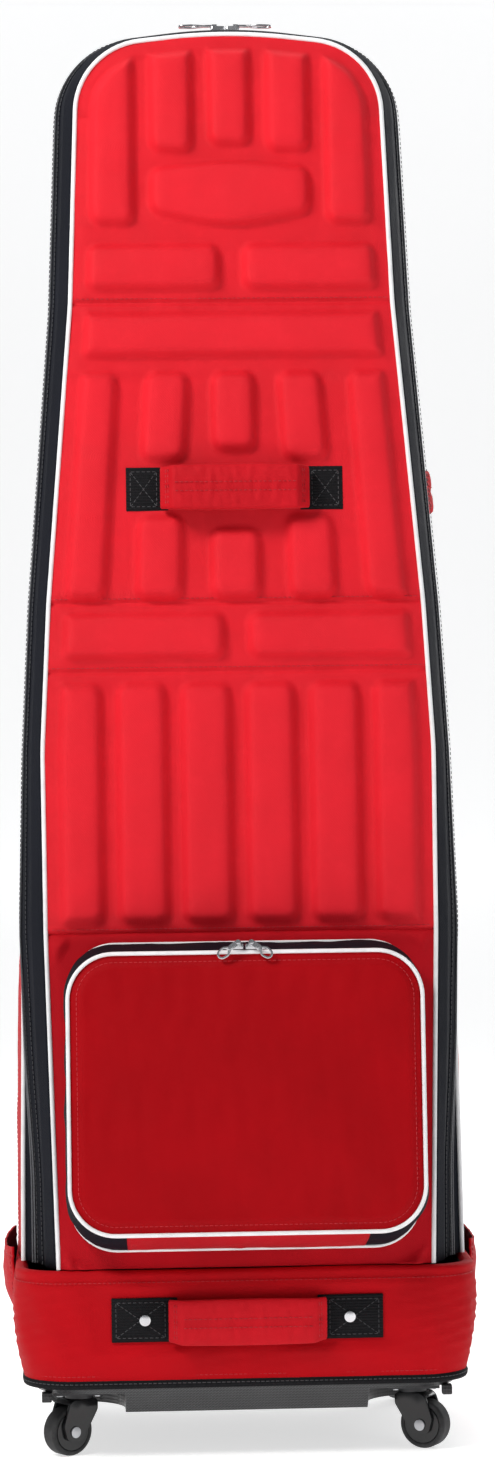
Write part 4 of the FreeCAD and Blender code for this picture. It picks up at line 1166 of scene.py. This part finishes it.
def make_binding():
    low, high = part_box("base_binding")
    middle = (low.z + high.z) / 2
    section = [(0.0004, low.z), (-0.0012, low.z), (-0.0022, low.z + 0.0012), (-0.0026, middle),
               (-0.0022, high.z - 0.0010), (-0.0010, high.z + 0.0004), (0.0012, high.z + 0.0002),
               (0.0016, middle)]
    section.append(section[0])
    rows = []
    for inset, height in section:
        ring = boot_ring(max(height, BOOT_BOTTOM), inset)
        ring[:, 2] = height
        rows.append(ring)
    piece = cloth_piece("foot_binding", np.array(rows), loop=True)
    dress(piece, black_webbing)
    face_outward(piece)
    smooth(piece)
    seat(piece, "case", "black_webbing", "base_binding")
    ring = boot_ring(BOOT_BOTTOM, -0.0026)
    ring[:, 2] = middle + 0.0012
    sew("binding_stitches", [(ring, boot_out(ring))], "case", "black_webbing", grey_thread)


# ---------------------------------------------------------------- carrying handles
FRONT_HANDLE_HEIGHT = 0.878
PATCH_THICKNESS = 0.002
GRIP_HALF_HEIGHT = 0.021
GRIP_SEAT = PATCH_THICKNESS + 0.0008        # the wrap's ends lie this far off the cloth


def way_out(place):
    """Outward direction of the surface that a handle is sewn to."""
    return place(np.zeros(1), np.ones(1), np.zeros(1))[0] - place(np.zeros(1), np.zeros(1), np.zeros(1))[0]


def handle_grip(name, half_length, gap, thickness, place, seed):
    """A padded wrap over a strap: a soft flat tube with a seam along its front and stitched ends."""
    stations = np.concatenate([[-1.0, -0.998, -0.992], np.linspace(-0.985, 0.985, 76), [0.992, 0.998, 1.0]])
    around = np.linspace(0, 2 * math.pi, 45)
    rows = []
    for station in stations:
        x = station * half_length
        lift = ramp(1.0, 0.80, abs(station))
        middle = GRIP_SEAT + (gap - GRIP_SEAT) * lift + thickness / 2
        squeeze = 0.80 + 0.20 * lift
        end = 1 - 0.10 * max(0.0, (abs(station) - 0.985) / 0.015) ** 2
        belly = 1 + 0.05 * math.cos(math.pi * station / 2)
        tall = GRIP_HALF_HEIGHT * end * (0.955 + 0.045 * lift) * belly / 1.05
        deep = thickness / 2 * squeeze * end
        cosine, sine = np.cos(around), np.sin(around)
        up = tall * np.sign(sine) * np.abs(sine) ** 0.62
        out = deep * np.sign(cosine) * np.abs(cosine) ** 0.62
        front = ramp(0.0, 0.6, cosine)
        crease = 0.0013 * np.exp(-(up / 0.0014) ** 2) * front
        wrinkle = 0.0007 * ripple(np.full(45, x * 2.2), up, 0.03, seed) * lift * front
        rows.append(place(np.full(45, x), middle + out - crease + wrinkle, up - 0.0010 * lift))
    piece = cloth_piece(name, np.array(rows), loop=True)
    only(piece)
    bpy.ops.object.mode_set(mode="EDIT")
    bpy.ops.mesh.select_mode(type="EDGE")
    bpy.ops.mesh.select_all(action="DESELECT")
    bpy.ops.mesh.select_non_manifold()
    bpy.ops.mesh.fill()
    bpy.ops.object.mode_set(mode="OBJECT")
    face_outward(piece)
    dress(piece, handle_red)
    smooth(piece, 55)
    lines = []
    out_way = way_out(place)
    for sign in (-1, 1):
        for share in (0.90, 0.93):
            up = np.linspace(-0.0165, 0.0165, 12)
            x = np.full(12, sign * share * half_length)
            lift = ramp(1.0, 0.80, share)
            surface = GRIP_SEAT + (gap - GRIP_SEAT) * lift
            surface += thickness / 2 + thickness / 2 * (0.80 + 0.20 * lift)
            lines.append((place(x, np.full(12, float(surface) - 0.0002), up), out_way))
    x = np.linspace(-0.82, 0.82, 60) * half_length
    for offset in (0.0030, -0.0050):
        surface = np.full(60, gap + thickness - 0.00005)
        lines.append((place(x, surface, np.full(60, offset)), out_way))
    return piece, lines


def box_cross(low_x, high_x, half_z):
    """The stitched square with a cross in it, as lines of (x, up) points."""
    corners = [(low_x, -half_z), (high_x, -half_z), (high_x, half_z), (low_x, half_z)]
    ways = [(0, 1), (1, 2), (2, 3), (3, 0), (0, 2), (1, 3)]
    return [np.linspace(corners[a], corners[b], 14) for a, b in ways]


def make_handle(stem, half_length, patch_reach, gap, thickness, place, body, seed):
    grip, lines = handle_grip(stem + "_wrap", half_length, gap, thickness, place, seed)
    seat(grip, body, "handle_fabric", stem + "_grip")
    sew(stem + "_wrap_stitches", lines, body, "handle_fabric", red_thread)
    bevelled(stem + "_patches", 0.0006, black_webbing, body, "black_webbing")
    out_way = way_out(place)
    rows = []
    on_patch = np.full(14, PATCH_THICKNESS + 0.0001)
    for sign in (-1, 1):
        for line in box_cross(half_length + 0.003, patch_reach - 0.004, 0.016):
            rows.append((place(sign * line[:, 0], on_patch, line[:, 1]), out_way))
    sew(stem + "_patch_stitches", rows, body, "black_webbing", grey_thread)


def make_handles():
    def on_front(x, out, up):
        return leaned(x, -out, FRONT_HANDLE_HEIGHT + up)

    make_handle("front_handle", 0.068, 0.099, 0.015, 0.013, on_front, "lid", 51)

    low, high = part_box("boot_handle_patches")
    middle = (low.z + high.z) / 2
    slope = math.atan2(BOOT_DEPTH_TOP - BOOT_DEPTH_LOW, BOOT_TOP - BOOT_BOTTOM)
    face = BOOT_HIGH.z - middle

    def on_boot(x, out, up):
        wall = BOOT_LOW.y + (face - up) * math.tan(slope)
        return np.stack([x, wall - out * math.cos(slope), middle + up - out * math.sin(slope)], -1)

    make_handle("boot_handle", 0.071, 0.122, 0.008, 0.0085, on_boot, "case", 52)

    low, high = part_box("side_handle_grip")
    middle_y, middle_z = (low.y + high.y) / 2, (low.z + high.z) / 2
    tilt = (half_width(1.0, 1.0) - half_width(0.8, 1.0)) / 0.2
    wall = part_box("side_handle_patches")[1].x - PATCH_THICKNESS + tilt * 0.020

    def on_side(x, out, up):
        return np.stack([wall + out + tilt * up, middle_y + x, middle_z + up - tilt * out], -1)

    make_handle("side_handle", 0.068, 0.092, 0.007, 0.008, on_side, "case", 53)
    bevelled("boot_handle_rivets", 0.0007, bright_metal, "case", "bright_metal")


# ---------------------------------------------------------------- hard pieces with worked edges
def bevelled(node, width, finish, body, slot, segments=2, angle=35):
    """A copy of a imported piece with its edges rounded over, standing in for it."""
    source = frame["nodes"][node]
    piece = source.copy()
    piece.data = source.data.copy()
    piece.name = node + "_finished"
    for key in list(piece.keys()):
        if key.startswith("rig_"):
            del piece[key]
    piece.parent = None
    piece.hide_render = False
    piece.hide_viewport = False
    bpy.context.scene.collection.objects.link(piece)
    only(piece)
    bpy.ops.mesh.customdata_custom_splitnormals_clear()
    merge_points(piece, 1e-5)
    edge = piece.modifiers.new("edges", "BEVEL")
    edge.width = width
    edge.segments = segments
    edge.limit_method = "ANGLE"
    edge.angle_limit = math.radians(angle)
    apply_all(piece)
    smooth(piece, 32)
    dress(piece, finish)
    return seat(piece, body, slot, node)


def make_hard_pieces():
    bevelled("base_tray", 0.0010, tray_black, "case", "tray_plastic")
    bevelled("buckle_socket", 0.0007, buckle_black, "case", "buckle_plastic")
    bevelled("buckle_plug", 0.0007, buckle_black, "buckle_plug", "buckle_plastic")
    bevelled("side_straps", 0.0003, black_webbing, "case", "black_webbing", 1)
    for side in ("left", "right"):
        for stem in ("main_slider_", "main_pull_", "pocket_slider_", "pocket_pull_"):
            node = stem + side
            bevelled(node, 0.0005 if "slider" in stem else 0.00045, bright_metal, node, "bright_metal")
    for corner in ("front_left", "front_right", "rear_left", "rear_right"):
        fork, wheel = "caster_fork_" + corner, "caster_wheel_" + corner
        bevelled(fork, 0.0009, gloss_black, fork, "caster_plastic")
        bevelled("caster_axle_" + corner, 0.0004, zinc_metal, fork, "steel_fasteners")
        bevelled("caster_hub_" + corner, 0.0005, gloss_black, wheel, "caster_plastic")
        bevelled("caster_tyre_" + corner, 0.0014, tyre_rubber, wheel, "tyre_rubber", 3)
    for node, finish in (("floor_board", board_black), ("back_foam", foam_grey),
                         ("tie_straps", black_webbing), ("caster_plates", satin_black),
                         ("caster_screws", zinc_metal)):
        for place in frame["nodes"][node].material_slots:
            place.material = finish


# ---------------------------------------------------------------- front pocket
POCKET_BASE = 0.003
POCKET_DEPTH = 0.050
POCKET_COIL = 0.003
FLAP_GAP = 0.0004
RIM_DEPTH = POCKET_BASE + POCKET_DEPTH
FLAP_FACE = RIM_DEPTH + 2 * POCKET_COIL + FLAP_GAP
FLAP_PADDING = 0.0036
FLAP_SKIN = FLAP_FACE + 0.0006          # where the crowned face leaves its edge
ZIP_END_X = 0.104


def pocket_ring(flare=0.0, foot_flare=0.0, inset=0.0, side_flare=None):
    """The pocket's outline from the middle of its foot, up the right side and round."""
    half = POCKET_HALF + (flare if side_flare is None else side_flare) - inset
    low, high = POCKET_LOW - foot_flare + inset, POCKET_HIGH + flare - inset
    round_off = POCKET_CORNER - inset
    corners = [(0.0, low, 0.0), (half, low, round_off), (half, high, round_off), (-half, high, round_off),
               (-half, low, round_off), (0.0, low, 0.0)]
    return rounded_path(corners, [0, 14, 14, 14, 14, 0], [26, 36, 56, 36, 26])


def ring_out(ring):
    ahead = np.gradient(ring, axis=0)
    out = np.c_[ahead[:, 1], -ahead[:, 0]]
    return out / np.linalg.norm(out, axis=1)[:, None]


def make_pocket():
    base = pocket_ring(0.008, 0.015, side_flare=-0.002)
    front = pocket_ring()
    base_out = ring_out(base)
    path = np.concatenate([[0], np.cumsum(np.linalg.norm(np.diff(front, axis=0), axis=1))])
    rows = []
    for share in np.linspace(0, 1, 13):
        ring = base + (front - base) * share
        wrinkle = ripple(path, np.full(len(path), share * 0.05), 0.06, 61)
        swell = (0.0030 + 0.0018 * wrinkle) * math.sin(math.pi * share)
        ring = ring + base_out * swell[:, None]
        depth = -(0.001 + (RIM_DEPTH + POCKET_COIL * 0.6 - 0.001) * share)
        rows.append(leaned(ring[:, 0], np.full(len(ring), depth), ring[:, 1]))
    rows = np.array(rows)
    at_foot = (np.abs(front[:, 0]) < ZIP_END_X) & (front[:, 1] < 0.3)
    first = int(np.argmax(~at_foot))
    last = len(front) - int(np.argmax(~at_foot[::-1]))
    pocket_centre = tuple(leaned(np.zeros(1), np.full(1, -0.03), np.full(1, 0.33))[0])
    zipped = cloth_piece("pocket_zip_band", rows[:, first - 1: last + 1])
    foot_rows = np.concatenate([rows[:, last - 1: -1], rows[:, :first + 1]], axis=1)
    foot_rows = foot_rows + 0.0003 * -UP
    foot = cloth_piece("pocket_foot_band", foot_rows)
    for piece, finish, slot, nodes in ((zipped, gusset_navy, "dark_tape", ()),
                                       (foot, lower_red, "shell_fabric", ("pocket_gusset",))):
        dress(piece, finish, lining_grey)
        finish_sheet(piece, pocket_centre, 0.0024, "lid", slot, *nodes)

    base_line = leaned(base[:-1, 0], np.full(len(base) - 1, -0.0052), base[:-1, 1])
    piping = tube("pocket_base_piping", base_line, 0.0017, closed=True, sides=3)
    dress(piping, white_piping)
    seat(piping, "lid", "white_piping", "pocket_rear_piping")

    front_ring = pocket_ring(inset=0.0008)
    front_out = ring_out(front_ring)
    outward = front_out[:, :1] * ACROSS + front_out[:, 1:] * UP
    zip_part = slice(first, last)
    for name, depth, body, node in (
        ("pocket_coil", RIM_DEPTH + POCKET_COIL * 0.55, "lid", "pocket_zip_coil"),
        ("flap_coil", RIM_DEPTH + POCKET_COIL * 1.45 + FLAP_GAP, "pocket_flap", "flap_zip_coil"),
    ):
        line = leaned(front_ring[zip_part, 0], np.full(last - first, -depth), front_ring[zip_part, 1])
        teeth = repeated(name, TOOTH_SMALL, along_path(line, outward[zip_part], TOOTH_SMALL_PITCH))
        dress(teeth, coil_black)
        seat(teeth, body, "zip_coil", node)

    rim_rows = []
    for depth, inset in ((RIM_DEPTH + POCKET_COIL + FLAP_GAP, 0.0015), (FLAP_SKIN, 0.0012)):
        ring = pocket_ring(inset=inset)
        rim_rows.append(leaned(ring[:, 0], np.full(len(ring), -depth), ring[:, 1]))
    rim = cloth_piece("flap_rim_tape", np.array(rim_rows), loop=True)
    dress(rim, tape_navy, lining_grey)
    finish_sheet(rim, pocket_centre, 0.0016, "pocket_flap", "dark_tape")

    piping_ring = pocket_ring(inset=0.0012)[:-1]
    line = leaned(piping_ring[:, 0], np.full(len(piping_ring), -(FLAP_FACE + 0.0010)), piping_ring[:, 1])
    piping = tube("pocket_face_piping", line, 0.0019, closed=True, sides=3)
    dress(piping, white_piping)
    seat(piping, "pocket_flap", "white_piping", "pocket_front_piping")
    make_pocket_face()


def flap_crown(room):
    """How far the padded flap swells at a distance inside its edge."""
    return 0.0042 * ramp(0.0, 0.012, room) + 0.0040 * ramp(0.0, 0.085, room)


def make_pocket_face():
    inset = 0.0030
    half, low, high = POCKET_HALF - inset, POCKET_LOW + inset, POCKET_HIGH - inset
    corner = POCKET_CORNER - inset
    turn = np.linspace(0, math.pi / 2, 20)
    foot_z = low + corner * (1 - np.cos(turn))
    straight = np.linspace(low + corner, high - corner, 62)[1:-1]
    heights = np.concatenate([foot_z, straight, (low + high - foot_z)[::-1]])
    rounding = np.minimum(np.minimum(heights - low, high - heights), corner)
    wide = half - corner + np.sqrt(np.maximum(corner ** 2 - (corner - rounding) ** 2, 0))
    across = np.linspace(-1, 1, 118)
    x = wide[:, None] * across[None, :]
    z = np.repeat(heights[:, None], len(across), axis=1)
    ax = np.abs(x) - (half - corner)
    az = np.abs(z - (low + high) / 2) - ((high - low) / 2 - corner)
    room = corner - np.hypot(np.maximum(ax, 0), np.maximum(az, 0)) - np.minimum(np.maximum(ax, az), 0)
    crown = flap_crown(room)
    wave = 0.0008 * ripple(x, z, 0.13, 71) + 0.0004 * ripple(x * 2, z * 0.8, 0.05, 72)
    pucker = 0.00035 * ripple(x, z, 0.010, 73, 1) * np.exp(-((room - 0.005) / 0.004) ** 2)
    out = crown + (wave + pucker) * ramp(0.0, 0.02, room)
    piece = cloth_piece("pocket_front", leaned(x, -(FLAP_SKIN + out), z)[:, ::-1])
    dress(piece, pocket_red)
    merge_points(piece, 1e-6)
    face_away(piece, CASE_CENTRE)
    smooth(piece)
    close_back(piece, INWARD, FLAP_PADDING, lining_grey)
    seat(piece, "pocket_flap", "pocket_fabric", "pocket_face")
    ring = pocket_ring(inset=0.0090)
    height = FLAP_SKIN + float(flap_crown(0.0060))
    line = leaned(ring[:, 0], np.full(len(ring), -height), ring[:, 1])
    sew("pocket_stitches", [(line, -INWARD)], "pocket_flap", "pocket_fabric", red_thread)


# ---------------------------------------------------------------- slip pockets on the boot's sides
SLIP_SEAT = 0.0030          # the slip pocket's cloth lies this far off the boot


def make_slip_pockets():
    for sign, word in ((-1, "left"), (1, "right")):
        low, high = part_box("slip_pocket_" + word)
        heights = np.linspace(low.z, high.z, 40)
        lengths = np.linspace(-1, 1, 62)
        reach = (high.y - low.y) / 2
        belly = max(abs(low.x), abs(high.x)) - BOOT_HALF_TOP
        rows = []
        for height in heights:
            share = (height - low.z) / (high.z - low.z)
            up_boot = (height - BOOT_BOTTOM) / (BOOT_TOP - BOOT_BOTTOM)
            face = BOOT_HALF_LOW + (BOOT_HALF_TOP - BOOT_HALF_LOW) * up_boot
            face = min(face, BOOT_HALF_TOP) + SLIP_SEAT
            ends = 1 - np.abs(lengths) ** 3.2
            rise = ramp(-0.15, 0.42, share) * (1 - 0.30 * ramp(0.55, 1.0, share))
            stand = (belly - SLIP_SEAT) * rise * ends
            fold = 0.0008 * ripple(lengths * reach * 1.6, np.full(62, height), 0.035, 81) * share
            hem = 0.0009 * math.exp(-((height - high.z + 0.009) / 0.0012) ** 2)
            dip = 0.0045 * (1 - lengths ** 2) * ramp(0.75, 1.0, share)
            rows.append(np.stack([sign * (face + stand + fold - hem), (low.y + high.y) / 2 + lengths * reach,
                                  np.full(62, height) - dip], -1))
        piece = cloth_piece("slip_" + word, np.array(rows))
        dress(piece, shell_red, lining_grey)
        finish_sheet(piece, (0, MIDDLE_Y, 0.15), 0.0018, "case", "slip_fabric", "slip_pocket_" + word)
        lines = [(rows[-6] + sign * 0.0002 * ACROSS, (sign, 0, 0))]
        for column in (2, -3):
            edge = np.array([row[column] for row in rows[2:-2]])
            lines.append((edge + sign * 0.0003 * ACROSS, (sign, 0, 0)))
        sew("slip_stitches_" + word, lines, "case", "slip_fabric", red_thread)


# ---------------------------------------------------------------- setting: floor, light and camera
FLOOR_SIZE = 40.0
WALL_HEIGHT = 22.0
SWEEP = 6.0                 # radius of the bend between floor and wall


def make_setting():
    bpy.ops.object.select_all(action="DESELECT")
    bpy.ops.mesh.primitive_plane_add(size=FLOOR_SIZE, location=(0, 0, 0))
    floor = bpy.context.object
    floor.name = "studio_floor"
    only(floor)
    bpy.ops.object.mode_set(mode="EDIT")
    bpy.ops.mesh.select_mode(type="EDGE")
    bpy.ops.mesh.select_all(action="DESELECT")
    mesh = bmesh.from_edit_mesh(floor.data)
    for edge in mesh.edges:
        edge.select = all(vertex.co.y > FLOOR_SIZE / 2 - 0.1 for vertex in edge.verts)
    bmesh.update_edit_mesh(floor.data)
    bpy.ops.mesh.extrude_region_move(TRANSFORM_OT_translate={"value": (0, 0, WALL_HEIGHT)})
    bpy.ops.object.mode_set(mode="OBJECT")
    bend = floor.modifiers.new("bend", "BEVEL")
    bend.width, bend.segments = SWEEP, 24
    apply_all(floor)
    smooth(floor)
    f = Finish("studio_white")
    cloud = f.noise(f.object_point(), 0.7, 2.0)
    f.shader.inputs["Emission Color"].default_value = (1.0, 1.0, 1.0, 1.0)
    paint = f.mix(cloud, (0.80, 0.80, 0.80), (0.84, 0.84, 0.84))
    dress(floor, f.done(paint, None, 0.7, Emission_Strength=0.60))

    bpy.context.scene.view_settings.view_transform = "Standard"
    world = bpy.data.worlds.new("studio")
    bpy.context.scene.world = world
    world.use_nodes = True
    world.node_tree.nodes["Background"].inputs["Color"].default_value = (0.95, 0.97, 1.0, 1.0)
    world.node_tree.nodes["Background"].inputs["Strength"].default_value = 0.24

    def area(name, place, aim, size, power, colour=(1.0, 1.0, 1.0)):
        lamp = bpy.data.lights.new(name, "AREA")
        lamp.shape = "RECTANGLE"
        lamp.size, lamp.size_y = size
        lamp.energy = power
        lamp.color = colour
        holder = bpy.data.objects.new(name, lamp)
        holder.location = place
        holder.rotation_euler = (Vector(aim) - Vector(place)).to_track_quat("-Z", "Y").to_euler()
        bpy.context.scene.collection.objects.link(holder)

    area("key_light", (-1.5, -1.35, 2.35), (0, 0, 1.0), (0.8, 0.8), 54, (1.0, 0.99, 0.97))
    area("fill_light", (2.3, -2.4, 1.3), (0, 0, 0.7), (1.2, 2.2), 9)
    area("top_light", (0.2, 0.5, 3.0), (0, 0, 1.0), (1.6, 1.2), 24)
    area("rim_light", (1.8, 2.4, 1.7), (0, 0.1, 0.7), (1.0, 1.8), 24)


def make_camera():
    camera = bpy.data.cameras.new("view")
    holder = bpy.data.objects.new("view", camera)
    bpy.context.scene.collection.objects.link(holder)
    distance = 3.45
    turn = math.radians(-2.6)
    aim = Vector((0.0115, MIDDLE_Y - 0.06, 0.657))
    holder.location = aim + Vector((math.sin(turn), -math.cos(turn), 0.0)) * distance
    facing = (aim - holder.location).to_track_quat("-Z", "Y").to_matrix()
    roll = Matrix.Rotation(math.radians(-0.72), 3, "Z")
    holder.rotation_euler = (facing @ roll).to_euler()
    camera.sensor_fit = "VERTICAL"
    camera.sensor_height = 36.0
    camera.lens = 92.0
    camera.clip_end = 60.0
    bpy.context.scene.camera = holder


# ---------------------------------------------------------------- the case, piece by piece
make_camera()
make_front_panel()
make_lower_panel()
make_front_piping()
make_side_band()
make_back(make_rear_shell())
make_boot()
make_binding()
make_handles()
make_pocket()
make_slip_pockets()
make_hard_pieces()
for unit in (STITCH, TOOTH, TOOTH_SMALL):
    bpy.data.objects.remove(unit)
make_setting()
